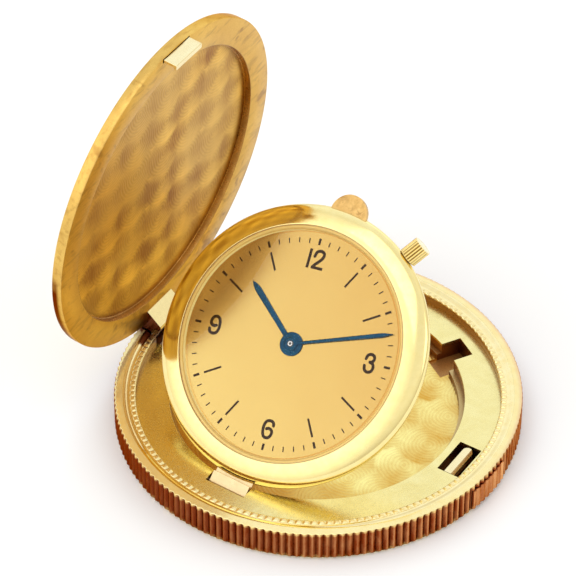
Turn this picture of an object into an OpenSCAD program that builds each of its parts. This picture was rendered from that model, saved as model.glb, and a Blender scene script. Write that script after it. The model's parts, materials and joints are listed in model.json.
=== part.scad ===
// Coin watch: a thin watch hinged inside a hollowed reeded coin with a flip-up lid.
// Frame: origin at the centre of the coin's bottom face, +Z up through the coin,
// +X towards the lid catch, lid hinge on the -X side, head hinge on the -Y side.
// Millimetres throughout. The lid and the watch head are drawn in the closed
// position and turned about their own hinge axes to the open resting pose.

/* [Coin] */
// Radius of the coin over the reeds
coin_r = 17; // [16.9:0.05:17.1]
// Height of the coin over the rim
coin_h = 2.8; // [2.75:0.01:2.85]
// Radius of the bore that takes the cradle
cup_r = 15.2; // [15.18:0.01:15.22]
// Thickness of the coin's skin under the cradle
skin = 0.2; // [0.18:0.01:0.21]
// Number of reeds round the edge
reeds = 174; // [120:1:180]
// Number of small blocks round the inside of the rim
dentils = 157; // [120:1:170]
// Depth of the grooves between the reeds
reed_depth = 0.13; // [0.08:0.01:0.16]

/* [Cradle] */
// Height of the satin cover plate's top face
plate_z = 1.9; // [1.89:0.01:1.91]
// Thickness of the cover plate
plate_t = 0.22; // [0.18:0.01:0.24]
// Radius of the recess that takes the watch head
recess_r = 12.32; // [12.28:0.01:12.36]
// Offset of the recess from the coin's centre along X
recess_x = -0.23; // [-0.25:0.01:-0.2]
// Offset of the recess from the coin's centre along Y
recess_y = 0.18; // [0.15:0.01:0.2]
// Height of the ledge low down in the recess
ledge_z = 0.86; // [0.84:0.01:0.9]
// Height of the circular-grained floor
floor_z = 0.42; // [0.4:0.01:0.43]

/* [Lid] */
// Radius of the lid
lid_r = 14.89; // [14.85:0.01:14.92]
// Thickness of the lid
lid_t = 0.95; // [0.93:0.01:0.97]
// Height of the lid's inner face when shut
lid_z = 1.92; // [1.92:0.01:1.93]
// Radius of the shallow recess in the lid
lid_recess_r = 12.44; // [12.4:0.01:12.46]
// Depth of the shallow recess in the lid
lid_recess_d = 0.6; // [0.58:0.01:0.62]
// Angle the lid stands open at rest
lid_open = 85.1; // [84:0.1:86]

/* [Watch head] */
// Largest radius of the watch case
case_r = 11.75; // [11.7:0.01:11.78]
// Angle the head is raised at rest
head_tilt = 42.6; // [42:0.1:43]
// Radius of the crystal
crystal_r = 9.86; // [9.84:0.01:9.88]
// Height of the dial face when folded
dial_z = 1.976; // [1.97:0.001:1.98]
// Direction of the crown round the case, from the head's own X axis
crown_az = 60.6; // [60:0.1:61]
// Diameter of the crown
crown_d = 1.7; // [1.66:0.01:1.7]

/* [Dial] */
// Turn of the twelve away from the line opposite the hinge
dial_turn = 9.9; // [9:0.1:11]
// Radius of the middle of the minute track
track_r = 8.62; // [8.6:0.01:8.64]
// Clock angle of the hour hand, from twelve
hour_angle = 311.7; // [311:0.1:312]
// Clock angle of the minute hand, from twelve
minute_angle = 72.1; // [72:0.1:72.5]

/* [Movement] */
// Radius of the movement's main plate
move_r = 9.7; // [9.65:0.01:9.72]
// Diameter of the balance
balance_d = 3.6; // [3.4:0.1:3.7]

/* [Hidden] */
$fn = 96;

gold = [0.93, 0.79, 0.42];
pale = [0.96, 0.87, 0.58];
copper = [0.55, 0.27, 0.12];
steel = [0.78, 0.79, 0.81];
blue = [0.12, 0.3, 0.48];
ink = [0.22, 0.15, 0.1];
brassy = [0.86, 0.7, 0.36];
ruby = [0.75, 0.12, 0.25];

// hinge axes
lid_hx = 16.312;      // lid axis at x = -lid_hx, parallel to Y
lid_hz = 2.009;
head_dh = 12.825;     // head axis this far from the recess centre
head_zk = 1.364;
head_az = -1.32;      // turn of the head's own frame about Z
push_az = -2.4;       // direction of the push piece
crown_z = 1.08;       // height of the stem's axis when folded

module at_lid() { translate([-lid_hx, 0, lid_hz]) rotate([0, -lid_open, 0]) translate([lid_hx, 0, -lid_hz]) children(); }
module at_recess() { translate([recess_x, recess_y, 0]) rotate([0, 0, head_az]) children(); }
module at_head() { at_recess() translate([0, -head_dh, head_zk]) rotate([head_tilt, 0, 0]) translate([0, head_dh, -head_zk]) children(); }
module box(x0, x1, y0, y1, z0, z1) { translate([x0, y0, z0]) cube([x1 - x0, y1 - y0, z1 - z0]); }
module tube(ro, ri, h) { difference() { cylinder(r = ro, h = h); translate([0, 0, -1]) cylinder(r = ri, h = h + 2); } }
module disc_at(p, z, r, h) { translate([p[0], p[1], z]) cylinder(r = r, h = h); }

// outline of the reeded edge: one groove point and a land for each reed
function reed_pts(n, rt, rv) = [for (i = [0:n - 1]) for (k = [[0, rv], [0.34, rt], [0.66, rt]])
  let (a = (i + k[0]) * 360 / n) [k[1] * cos(a), k[1] * sin(a)]];
// toothed wheel outline
function gear_pts(n, m) = let (rp = n * m / 2) [for (i = [0:n - 1]) for (k = [[-0.27, -1.1], [-0.13, 0.85], [0.13, 0.85], [0.27, -1.1]])
  let (a = (i + k[0]) * 360 / n, r = rp + k[1] * m) [r * cos(a), r * sin(a)]];
// flat spiral strip of given thickness
function spiral(r0, r1, turns, w, n) = concat(
  [for (i = [0:n]) let (a = 360 * turns * i / n, r = r0 + (r1 - r0) * i / n - w / 2) [r * cos(a), r * sin(a)]],
  [for (j = [0:n]) let (i = n - j, a = 360 * turns * i / n, r = r0 + (r1 - r0) * i / n + w / 2) [r * cos(a), r * sin(a)]]);
function unit(v) = v / norm(v);
function left(v) = [-v[1], v[0]];
// constant-width ribbon along a list of points
function ribbon(p, w) = let (n = len(p), d = [for (i = [0:n - 1]) left(unit(p[min(i + 1, n - 1)] - p[max(i - 1, 0)]))])
  concat([for (i = [0:n - 1]) p[i] + d[i] * w / 2], [for (j = [0:n - 1]) let (i = n - 1 - j) p[i] - d[i] * w / 2]);
function arc(cx, cy, rx, ry, a0, a1, n) = [for (i = [0:n]) let (a = a0 + (a1 - a0) * i / n) [cx + rx * cos(a), cy + ry * sin(a)]];

module gear(n, m, h, bore) { difference() { linear_extrude(h) polygon(gear_pts(n, m)); translate([0, 0, -1]) cylinder(r = bore, h = h + 2); } }
// spoked wheel: toothed rim, three arms and a hub
module wheel(n, m, h, rim, hub, bore) {
  rr = n * m / 2 - 1.1 * m - rim;
  difference() {
    gear(n, m, h, bore);
    for (a = [0, 120, 240]) rotate([0, 0, a]) translate([0, 0, -1]) linear_extrude(h + 2)
      difference() { intersection() { circle(rr); polygon([[0.001, 0], [rr * 2, 0.12 * rr], [rr * 2, rr * 3.2], [-rr * 0.9, rr * 1.9]]); } circle(hub); translate([-9, -0.09 * rr]) square([18, 0.3 * rr]); rotate(120) translate([-9, -0.21 * rr]) square([18, 0.3 * rr]); }
  }
}

// ---------------------------------------------------------------- coin half
module coin_blank() {
  intersection() {
    rotate_extrude() polygon([[0, 0], [16.55, 0], [16.88, 0.1], [coin_r + 0.01, 0.24], [coin_r + 0.01, 2.68], [16.9, 2.765],
      [16.7, 2.785], [16.35, coin_h], [16.08, 2.785], [15.95, 2.74], [15.68, 2.66], [15.62, 2.66], [15.5, 2.74], [15.32, 2.74], [cup_r, 2.66], [cup_r - 0.1, 2], [cup_r - 0.1, 1], [0, 1]]);
    linear_extrude(4) polygon(reed_pts(reeds, coin_r, coin_r - reed_depth));
  }
}
// gaps between the small blocks that ring the inside of the rim
module dentil_gaps() {
  translate([0, 0, 2.56]) linear_extrude(1) polygon([for (i = [0:dentils - 1]) for (k = [[0, 15.18], [0.68, 15.18], [0.72, 15.69], [0.96, 15.69]])
    let (a = (i + k[0]) * 360 / dentils) [k[1] * cos(a), k[1] * sin(a)]]);
}
module push_frame() { rotate([0, 0, push_az]) children(); }
module coin_body() {
  color(pale) difference() {
    coin_blank();
    translate([0, 0, skin]) cylinder(r = cup_r, h = 5);
    dentil_gaps();
    // window and inner pocket for the push piece, and the hole for its plunger
    push_frame() box(15.95, 18, -2.23, 2.23, 0.3, 2.33);
    push_frame() box(15, 18, -2.11, -1.34, 1.0, 1.6);
    // gap for the lid's knuckle and the hole for its pin
    box(-18, -15, -1.87, 1.87, 1.28, 4);
    translate([-lid_hx, 0, lid_hz]) rotate([90, 0, 0]) cylinder(r = 0.25, h = 8.5, center = true);
  }
}
module push_piece() {
  color(copper) push_frame() {
    intersection() {
      translate([0.13, 0, 0]) rotate([0, 0, -push_az]) linear_extrude(2.27) polygon(reed_pts(reeds, coin_r, coin_r - reed_depth));
      box(16.35, 18, -2.17, 2.17, 0.36, 2.27);
    }
    box(14.27, 16.5, -2.05, -1.4, 1.06, 1.54);
  }
}

// ------------------------------------------------------------------- cradle
module cradle_cuts() {
  // crown notch
  at_recess() rotate([0, 0, crown_az - 0.9]) box(11, 14.02, -1.12, 1.12, skin - 0.01, 4);
  // finger notch under the thumb tab
  at_recess() rotate([0, 0, 1.6]) translate([0, 11.5, 0.5]) cylinder(r = 2.05, h = 4);
  // head hinge slot
  at_recess() box(-1.9, 1.85, -13.42, -11, 0.78, 4);
  // pocket that the lid's lug sweeps
  intersection() {
    translate([-lid_hx, 0, lid_hz]) rotate([90, 0, 0]) cylinder(r = 3.02, h = 3.74, center = true);
    box(-17, -13, -2, 2, 0.42, 4);
  }
}
module cradle_ring() {
  color(brassy) difference() {
    translate([0, 0, skin]) cylinder(r = cup_r, h = plate_z - plate_t - skin);
    translate([recess_x, recess_y, 0]) cylinder(r = recess_r - 0.44, h = 4);
    translate([recess_x, recess_y, ledge_z]) cylinder(r = recess_r, h = 4);
    cradle_cuts();
    // pocket of the catch lever, and the way in for the plunger
    box(12.62, 14.74, -3.2, 1.9, 0.62, 4);
    translate([13.6, -3.2, 0.62]) cylinder(r = 0.98, h = 4);
    box(12.75, 14.4, -4.2, -3, 0.62, 4);
    push_frame() box(14, 16, -2.11, -1.34, 1.0, 1.6);
    // hole for the lever's pivot and bore for the head's pin
    translate([13.72, -4.3, 0.4]) cylinder(r = 0.28, h = 4);
    translate([13.72, -4.3, 1.1]) cylinder(r = 0.66, h = 4);
    at_recess() translate([0, -head_dh, head_zk]) rotate([0, 90, 0]) cylinder(r = 0.15, h = 6.5, center = true);
  }
}
module cover_plate() {
  color(pale) difference() {
    translate([0, 0, plate_z - plate_t]) cylinder(r = cup_r - 0.12, h = plate_t);
    translate([recess_x, recess_y, 0]) cylinder(r = recess_r, h = 4);
    cradle_cuts();
    box(12.7, 14.7, -1.79, 1.9, 0, 4);
  }
}
module cradle_floor() {
  color(gold) difference() {
    translate([recess_x, recess_y, skin]) cylinder(r = recess_r - 0.44, h = floor_z - skin);
    at_recess() rotate([0, 0, crown_az - 0.9]) box(11, 14.02, -1.12, 1.12, skin - 0.01, 4);
  }
}
module lid_hinge_pin() { color(steel) translate([-lid_hx, 0, lid_hz]) rotate([90, 0, 0]) cylinder(r = 0.25, h = 8.4, center = true); }
module head_hinge_pin() { color(steel) at_recess() translate([0, -head_dh, head_zk]) rotate([0, 90, 0]) cylinder(r = 0.15, h = 6.4, center = true); }
module catch_lever() {
  color(pale) difference() {
    union() {
      box(13.31, 14.14, -4.0, 1.27, 1.14, 1.64);
      // the part that stands up into the window, with a round end
      box(13.31, 14.14, -1.7, 1.27, 1.6, 1.84);
      translate([13.725, 1.27, 1.14]) cylinder(r = 0.415, h = 0.7);
      translate([13.72, -4.3, 1.14]) cylinder(r = 0.58, h = 0.5);
    }
    translate([13.72, -4.3, 0]) cylinder(r = 0.31, h = 4);
  }
}
module catch_pivot() { color(steel) { translate([13.72, -4.3, 0.4]) cylinder(r = 0.28, h = plate_z - plate_t - 0.4); } }
module catch_spring() { color(steel) { box(12.76, 12.84, -4.1, -3.0, 1.2, 1.58); box(12.76, 13.3, -3.1, -3.0, 1.2, 1.58); } }
module lid_spring() { color(steel) translate([-15.1, 0, 0.46]) rotate([0, -6, 0]) box(0, 1.2, -1.2, 1.2, 0, 0.12); }

// ---------------------------------------------------------------------- lid
module lid_disc() {
  color(gold) at_lid() difference() {
    rotate_extrude() polygon([[0, lid_z], [lid_r - 0.05, lid_z], [lid_r, lid_z + 0.05], [lid_r, lid_z + lid_t - 0.12],
      [lid_r - 0.12, lid_z + lid_t], [lid_r - 0.5, lid_z + lid_t], [lid_r - 0.7, lid_z + lid_t - 0.08], [0, lid_z + lid_t - 0.08]]);
    translate([0.09, -0.15, 0]) cylinder(r = lid_recess_r, h = lid_z + lid_recess_d);
  }
}
module lid_hinge_lug() {
  color(gold) at_lid() difference() {
    union() {
      translate([-lid_hx, 0, lid_hz]) rotate([90, 0, 0]) cylinder(r = 0.64, h = 3.5, center = true);
      // arm under and against the edge of the lid, down to the slanted nose
      difference() {
        rotate([90, 0, 0]) translate([0, 0, -1.75]) linear_extrude(3.5)
          polygon([[-lid_hx, 2.645], [-14.6, 2.645], [-14.6, lid_z], [-13.4, lid_z], [-14.42, 0.56], [-14.62, 0.48], [-14.95, 0.66], [-15.0, 1.2], [-15.3, 1.38], [-lid_hx, 1.4]]);
        difference() { translate([0, 0, lid_z]) cylinder(r = lid_r, h = 2); }
      }
    }
    translate([-lid_hx, 0, lid_hz]) rotate([90, 0, 0]) cylinder(r = 0.28, h = 5, center = true);
  }
}
module lid_catch_hook() {
  color(pale) at_lid() rotate([90, 0, 0]) translate([0, 0, -1.76]) linear_extrude(3.52)
    polygon([[14.21, lid_z], [14.47, lid_z], [14.47, 0.86], [14.41, 0.8], [14.02, 0.8], [13.96, 0.86], [13.96, 1.02], [14.21, 1.1]]);
}

// --------------------------------------------------------------- watch case
back_pts = [[10.9, 0.47], [11.3, 0.56], [11.5, 0.74], [11.62, 0.96], [case_r - 0.02, 1.28]];
bezel_pts = [[case_r - 0.02, 1.28], [case_r, 1.42], [11.7, 1.6], [11.55, 1.82], [11.3, 2.03], [10.95, 2.2], [10.5, 2.33], [10.1, 2.4], [crystal_r, 2.42]];
module case_outline() { rotate_extrude() polygon(concat([[0, 0.47]], back_pts, bezel_pts, [[0, 2.42]])); }
module case_back() {
  color(gold) at_head() difference() {
    rotate_extrude() polygon(concat([[0, 0.47]], back_pts, [[10, 1.28], [10, 0.62], [0, 0.62]]));
    rotate([0, 0, crown_az]) translate([9, 0, crown_z]) rotate([0, 90, 0]) cylinder(r = 0.45, h = 4);
  }
}
module bezel() {
  color(pale) at_head() difference() {
    rotate_extrude() polygon(concat([[10, 1.28]], bezel_pts, [[crystal_r, 2.28], [9.72, 2.28], [9.72, dial_z], [10, dial_z]]));
    rotate([0, 0, crown_az]) translate([9, 0, crown_z]) rotate([0, 90, 0]) cylinder(r = 0.45, h = 4);
  }
}
module crystal() { color([0.9, 0.93, 0.95, 0.3]) at_head() translate([0, 0, 2.3]) { cylinder(r = crystal_r - 0.04, h = 0.12); translate([0, 0, 0.12]) cylinder(r1 = crystal_r - 0.04, r2 = crystal_r - 0.4, h = 0.03); } }
module crystal_gasket() { color([0.3, 0.25, 0.15]) at_head() translate([0, 0, 2.3]) tube(crystal_r, crystal_r - 0.04, 0.12); }
module rehaut_ring() {
  color(pale) at_head() rotate_extrude() polygon([[9.72, dial_z], [9.72, 2.3], [9.64, 2.3], [9.45, dial_z]]);
}
module thumb_tab() {
  color(gold) at_head() rotate([0, 0, 1.6]) difference() {
    union() { translate([0, 11.52, 1.4]) cylinder(r = 1.64, h = 0.36); }
    rotate([0, 0, -1.6]) case_outline();
    // fingernail groove on the under side
    translate([-1, 12.75, 1.36]) rotate([0, 90, 0]) cylinder(r = 0.12, h = 2);
  }
}
module head_hinge_lug() {
  color(pale) at_head() difference() {
    union() {
      translate([0, -head_dh, head_zk]) rotate([0, 90, 0]) cylinder(r = 0.33, h = 3.5, center = true);
      box(-1.75, 1.75, -head_dh, -11.95, head_zk - 0.32, head_zk + 0.3);
      // web that carries the block under the edge of the case
      box(-1.75, 1.75, -12, -11.3, head_zk - 0.32, head_zk - 0.08);
    }
    case_outline();
    translate([0, -head_dh, head_zk]) rotate([0, 90, 0]) cylinder(r = 0.18, h = 5, center = true);
  }
}
module crown_tube() { color(steel) at_head() rotate([0, 0, crown_az]) translate([10.05, 0, crown_z]) rotate([0, 90, 0]) tube(0.45, 0.33, 1.62); }

// --------------------------------------------------------------------- dial
module dial() { color([0.95, 0.83, 0.54]) at_head() translate([0, 0, dial_z - 0.146]) tube(9.7, 0.62, 0.146); }
module on_dial(a) { at_head() translate([0, 0, dial_z]) rotate([0, 0, dial_turn - a]) children(); }
module minute_track() {
  color(ink) for (i = [0:59]) on_dial(i * 6) {
    if (i % 5 == 0) translate([-0.1, track_r - 0.24, 0]) cube([0.2, 0.54, 0.014]);
    else translate([-0.045, track_r - 0.2, 0]) cube([0.09, 0.42, 0.014]);
  }
}
module hour_batons() { color(ink) for (i = [1, 2, 4, 5, 7, 8, 10, 11]) on_dial(i * 30) translate([-0.085, 6.38, 0]) cube([0.17, 1.58, 0.014]); }
module glyph(p, w) { linear_extrude(0.014) polygon(ribbon(p, w)); }
module numerals() {
  w = 0.26;
  color(ink) {
    on_dial(0) translate([0, 7.13, 0]) { glyph([[-0.52, -0.8], [-0.52, 0.8]], 0.24);
      translate([0.3, 0, 0]) { glyph(concat(arc(0, 0.33, 0.34, 0.36, 165, -25, 14), [[-0.36, -0.62]]), w); glyph([[-0.5, -0.69], [0.48, -0.69]], 0.22); } }
    on_dial(0) translate([7.08, 0, 0]) { glyph(arc(-0.02, 0.36, 0.36, 0.36, 150, -88, 16), w); glyph(arc(-0.02, -0.34, 0.38, 0.38, 88, -150, 16), w); }
    on_dial(0) translate([0, -7.13, 0]) glyph(concat(arc(0, 0.3, 0.36, 0.4, 40, 180, 12), arc(0, -0.32, 0.38, 0.4, 180, 450, 20)), w);
    on_dial(0) translate([-7.08, 0, 0]) glyph(concat(arc(0, -0.3, 0.36, 0.4, 220, 360, 12), arc(0, 0.32, 0.38, 0.4, 0, 270, 20)), w);
  }
}

// -------------------------------------------------------------------- hands
module hour_hand() {
  color(blue) on_dial(hour_angle) translate([0, 0, 0.084]) difference() {
    union() { cylinder(r = 1.0, h = 0.05); linear_extrude(0.05) polygon([[-0.19, 0], [-0.25, 5.7], [-0.12, 6.15], [0, 6.46], [0.12, 6.15], [0.25, 5.7], [0.19, 0]]); }
    translate([0, 0, -1]) cylinder(r = 0.5, h = 3);
  }
}
module minute_hand() {
  color(blue) on_dial(minute_angle) translate([0, 0, 0.204]) difference() {
    union() { cylinder(r = 0.58, h = 0.05); linear_extrude(0.05) polygon([[-0.11, 0], [-0.17, 7.9], [-0.08, 8.5], [0, 8.92], [0.08, 8.5], [0.17, 7.9], [0.11, 0]]); }
    translate([0, 0, -1]) cylinder(r = 0.22, h = 3);
  }
}

// ----------------------------------------------------------------- movement
p_barrel = [-4.0, 2.31];      // 60-tooth drum on the ten-leaf centre pinion
p_third = [1.44, -2.494];
p_fourth = [3.951, -2.937];
p_escape = [5.603, -1.551];
p_pallet = [5.8, 0.55];
p_balance = [5.6, 2.7];
p_minute = [-1.6, -1.2];
p_crownw = 3.1 * [cos(crown_az), sin(crown_az)];
screw_as = [100, 200, 225, 320, 12];
module at_p(p, z) { at_head() translate([p[0], p[1], z]) children(); }
module screw_holes(r, as) { for (a = as) rotate([0, 0, a]) disc_at([9.36, 0], 0, r, 1.3); }

module main_plate() {
  color(steel) at_head() difference() {
    union() { translate([0, 0, 1.38]) cylinder(r = move_r, h = 0.24); translate([0, 0, 1.0]) tube(9.98, 9.1, 0.83); }
    rotate([0, 0, crown_az]) box(4.9, 11, -0.5, 0.5, 0.7, 1.5);
    disc_at([0, 0], 1, 0.22, 1);
    disc_at(p_minute, 1, 0.16, 1);
    for (p = [p_barrel, p_third, p_fourth, p_escape, p_pallet, p_balance]) disc_at(p, 1, 0.22, 1);
    screw_holes(0.12, screw_as);
  }
}
module barrel() {
  color(brassy) at_p(p_barrel, 1.02) difference() {
    union() { gear(60, 0.132, 0.07, 0.4); cylinder(r = 3.7, h = 0.22); }
    translate([0, 0, 0.04]) cylinder(r = 3.55, h = 0.14);
    translate([0, 0, -1]) cylinder(r = 0.42, h = 3);
  }
}
module barrel_arbor() { color(steel) at_p(p_barrel, 0.66) { cylinder(r = 0.3, h = 0.4); translate([0, 0, 0.4]) cylinder(r = 0.38, h = 0.14); translate([0, 0, 0.54]) cylinder(r = 0.19, h = 0.36); } }
module mainspring() { color(steel) at_p(p_barrel, 1.07) linear_extrude(0.1) polygon(spiral(0.43, 3.4, 7, 0.07, 140)); }
module ratchet_wheel() { color(steel) at_p(p_barrel, 0.68) rotate([0, 0, 4]) gear(44, 0.1287, 0.09, 0.3); }
module crown_wheel() { color(steel) at_p(p_crownw, 0.68) gear(42, 0.1287, 0.09, 0.47); }
module centre_wheel() {
  color(brassy) at_p([0, 0], 0) {
    translate([0, 0, 1.28]) wheel(64, 0.08, 0.06, 0.28, 0.5, 0.1);
    translate([0, 0, 1.02]) gear(10, 0.132, 0.08, 0.1);
    translate([0, 0, 0.9]) cylinder(r = 0.11, h = 0.2);
    translate([0, 0, 1.1]) cylinder(r = 0.25, h = 0.2);
    translate([0, 0, 1.3]) cylinder(r = 0.18, h = 0.9);
  }
}
module cannon_pinion() {
  color(steel) at_p([0, 0], 1.64) difference() {
    union() { linear_extrude(0.1) polygon(gear_pts(12, 0.0833)); cylinder(r = 0.22, h = 0.64); }
    translate([0, 0, -1]) cylinder(r = 0.185, h = 1.565);
  }
}
module third_wheel() {
  color(brassy) at_p(p_third, 0) {
    translate([0, 0, 1.14]) wheel(60, 0.075, 0.06, 0.26, 0.42, 0.1);
    translate([0, 0, 1.24]) gear(8, 0.08, 0.12, 0.05);
    translate([0, 0, 0.92]) cylinder(r = 0.11, h = 0.6);
  }
}
module fourth_wheel() {
  color(brassy) at_p(p_fourth, 0) {
    translate([0, 0, 1.28]) wheel(70, 0.056, 0.06, 0.24, 0.4, 0.1);
    translate([0, 0, 1.12]) gear(8, 0.075, 0.1, 0.05);
    translate([0, 0, 0.92]) cylinder(r = 0.11, h = 0.6);
  }
}
module escape_wheel() {
  color(steel) at_p(p_escape, 0) {
    difference() {
      translate([0, 0, 1.12]) linear_extrude(0.06) polygon([for (i = [0:14]) for (k = [[0, 0.98], [0.12, 1.3], [0.2, 1.3], [0.55, 1.02]]) let (a = (i + k[0]) * 24) [k[1] * cos(a), k[1] * sin(a)]]);
      for (a = [45:90:315]) rotate([0, 0, a]) translate([0.6, 0, 1]) cylinder(r = 0.26, h = 1);
    }
    translate([0, 0, 1.26]) gear(7, 0.056, 0.1, 0.04);
    translate([0, 0, 0.92]) cylinder(r = 0.1, h = 0.6);
  }
}
module pallet_fork() {
  color(steel) at_p(p_pallet, 0) {
    translate([0, 0, 1.12]) linear_extrude(0.06) {
      rotate(-5.4) polygon([[-0.16, 0.1], [-0.66, -0.35], [-0.76, -0.9], [-0.62, -0.96], [-0.48, -0.5], [0, -0.2], [0.48, -0.5], [0.62, -0.96], [0.76, -0.9], [0.66, -0.35], [0.16, 0.1]]);
      rotate(5.3) polygon([[-0.1, -0.1], [-0.05, 1.2], [-0.2, 1.42], [-0.14, 1.5], [-0.06, 1.38], [0.06, 1.38], [0.14, 1.5], [0.2, 1.42], [0.05, 1.2], [0.1, -0.1]]);
    }
    translate([0, 0, 0.92]) cylinder(r = 0.09, h = 0.6);
  }
}
module balance_wheel() {
  color(brassy) at_p(p_balance, 0) {
    translate([0, 0, 1.25]) { tube(balance_d / 2, balance_d / 2 - 0.28, 0.1); box(0.2 - balance_d / 2, balance_d / 2 - 0.2, -0.13, 0.13, 0, 0.08); cylinder(r = 0.36, h = 0.1); }
    translate([0, 0, 0.92]) cylinder(r = 0.1, h = 0.6);
    translate([0, 0, 1.2]) cylinder(r = 0.3, h = 0.06);
  }
}
module hairspring() { color(blue) at_p(p_balance, 1.04) linear_extrude(0.05) polygon(spiral(0.12, 1.5, 8, 0.04, 160)); }

module bridge_shape(pts) { translate([0, 0, 0.86]) linear_extrude(0.14) intersection() { circle(9.7); polygon(pts); } }
module barrel_bridge() {
  color(steel) at_head() difference() {
    union() {
      bridge_shape([[1.0, 5.8], [1.6, 12], [-12, 12], [-12, -4], [-2.2, -1.3], [-1.0, 0.9], [0.8, 1.75], [2.4, 1.5], [3.6, 3.0], [2.3, 4.2]]);
      disc_at(p_crownw, 0.65, 0.44, 0.22);
    }
    disc_at(p_barrel, 0, 0.33, 2);
    rotate([0, 0, crown_az]) box(5.1, 11, -0.5, 0.5, 0, 2);
    screw_holes(0.12, [100, 200]);
  }
}
module train_bridge() {
  color(steel) at_head() difference() {
    bridge_shape([[-1.9, -1.6], [-9, -5.6], [-9, -12], [12, -12], [12, -0.9], [6.7, -0.7], [4.4, -0.8], [1.2, 1.2], [-0.7, 0.7]]);
    for (p = [[0, 0], p_third, p_fourth, p_escape]) disc_at(p, 0, 0.3, 2);
    screw_holes(0.12, [225, 320]);
  }
}
module balance_cock() {
  color(steel) at_head() difference() {
    bridge_shape([[4.6, 1.9], [5.2, 0.05], [12, -0.5], [12, 4.5], [6.4, 3.8], [4.9, 3.4]]);
    for (p = [p_balance, p_pallet]) disc_at(p, 0, 0.3, 2);
    screw_holes(0.12, [12]);
  }
}
module bridge_screws() { color(blue) at_head() for (a = screw_as) rotate([0, 0, a]) { disc_at([9.36, 0], 0.78, 0.24, 0.08); disc_at([9.36, 0], 0.86, 0.12, 0.44); } }
module jewels() {
  color(ruby) at_head() {
    for (p = [[0, 0], p_third, p_fourth, p_escape, p_balance, p_pallet]) difference() { disc_at(p, 0.86, 0.3, 0.14); disc_at(p, 0, 0.13, 2); }
    for (p = [p_third, p_fourth, p_escape, p_balance, p_pallet]) difference() { disc_at(p, 1.4, 0.22, 0.2); disc_at(p, 0, 0.13, 2); }
  }
}
module minute_wheel() { color(brassy) at_p(p_minute, 1.65) { gear(36, 0.0833, 0.07, 0.02); gear(10, 0.08, 0.16, 0.02); translate([0, 0, -0.2]) cylinder(r = 0.13, h = 0.25); } }
module hour_wheel() { color(brassy) at_p([0, 0], 1.755) difference() { union() { gear(40, 0.08, 0.055, 0.26); cylinder(r = 0.5, h = 0.355); } translate([0, 0, -1]) cylinder(r = 0.26, h = 3); } }

// ------------------------------------------------------------ winding works
module on_stem(x) { at_head() rotate([0, 0, crown_az]) translate([x, 0, crown_z]) rotate([0, 90, 0]) children(); }
module winding_stem() { color(steel) { on_stem(5.2) cylinder(r = 0.14, h = 1.2); on_stem(6.3) cylinder(r = 0.22, h = 1.5); on_stem(7.7) cylinder(r = 0.13, h = 0.5); on_stem(8.1) cylinder(r = 0.28, h = 4.3); } }
module winding_pinion() { color(steel) on_stem(5.5) difference() { linear_extrude(0.75) polygon(gear_pts(12, 0.048)); translate([0, 0, -1]) cylinder(r = 0.16, h = 3); } }
module setting_lever() { color(steel) at_head() rotate([0, 0, crown_az]) difference() { box(7.84, 8.06, -0.44, 0.44, 0.78, 1.34); translate([7, 0, crown_z]) rotate([0, 90, 0]) cylinder(r = 0.16, h = 3); } }
module crown() {
  color(gold) on_stem(11.8) difference() {
    union() {
      translate([0, 0, 0.08]) linear_extrude(1.46) polygon([for (i = [0:27]) for (k = [[0, 0.785], [0.28, crown_d / 2], [0.72, crown_d / 2]]) let (a = (i + k[0]) * 360 / 28) [k[1] * cos(a), k[1] * sin(a)]]);
      cylinder(r = 0.76, h = 0.08);
      translate([0, 0, 1.54]) cylinder(r1 = crown_d / 2 - 0.01, r2 = 0.77, h = 0.08);
    }
    translate([0, 0, -1]) cylinder(r = 0.28, h = 1.6);
  }
}

coin_body();
cradle_ring();
cover_plate();
cradle_floor();
lid_hinge_pin();
head_hinge_pin();
push_piece();
catch_lever();
catch_pivot();
catch_spring();
lid_spring();
lid_disc();
lid_hinge_lug();
lid_catch_hook();
case_back();
bezel();
crystal();
crystal_gasket();
rehaut_ring();
thumb_tab();
head_hinge_lug();
crown_tube();
dial();
minute_track();
hour_batons();
numerals();
hour_hand();
minute_hand();
main_plate();
barrel();
barrel_arbor();
mainspring();
ratchet_wheel();
crown_wheel();
centre_wheel();
cannon_pinion();
third_wheel();
fourth_wheel();
escape_wheel();
pallet_fork();
balance_wheel();
hairspring();
barrel_bridge();
train_bridge();
balance_cock();
bridge_screws();
jewels();
minute_wheel();
hour_wheel();
winding_stem();
winding_pinion();
setting_lever();
crown();
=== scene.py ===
import json
import math

import bmesh
import bpy
from mathutils import Matrix, Vector


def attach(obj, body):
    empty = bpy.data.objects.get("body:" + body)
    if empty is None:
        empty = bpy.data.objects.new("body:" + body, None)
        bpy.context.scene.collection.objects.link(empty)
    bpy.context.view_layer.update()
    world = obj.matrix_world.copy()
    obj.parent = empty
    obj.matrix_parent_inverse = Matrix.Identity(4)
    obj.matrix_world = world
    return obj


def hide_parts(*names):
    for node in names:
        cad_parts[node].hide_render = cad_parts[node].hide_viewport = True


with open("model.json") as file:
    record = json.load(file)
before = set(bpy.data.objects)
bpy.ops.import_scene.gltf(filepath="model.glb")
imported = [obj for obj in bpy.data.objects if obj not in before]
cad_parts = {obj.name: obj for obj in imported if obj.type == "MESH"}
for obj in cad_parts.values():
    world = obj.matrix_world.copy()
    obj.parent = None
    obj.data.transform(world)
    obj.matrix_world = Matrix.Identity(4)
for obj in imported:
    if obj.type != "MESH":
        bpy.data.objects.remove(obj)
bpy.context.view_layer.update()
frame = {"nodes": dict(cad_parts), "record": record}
NODES = frame["nodes"]
MM = 0.001
COLL = bpy.context.scene.collection

# ------------------------------------------------------------------ places
LID_OPEN, HEAD_TILT = math.radians(85.1), math.radians(42.6)
LHX, LHZ, HDH, HZK = 16.312, 2.009, 12.825, 1.364


def T(x, y, z):
    return Matrix.Translation(Vector((x, y, z)) * MM)


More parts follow.
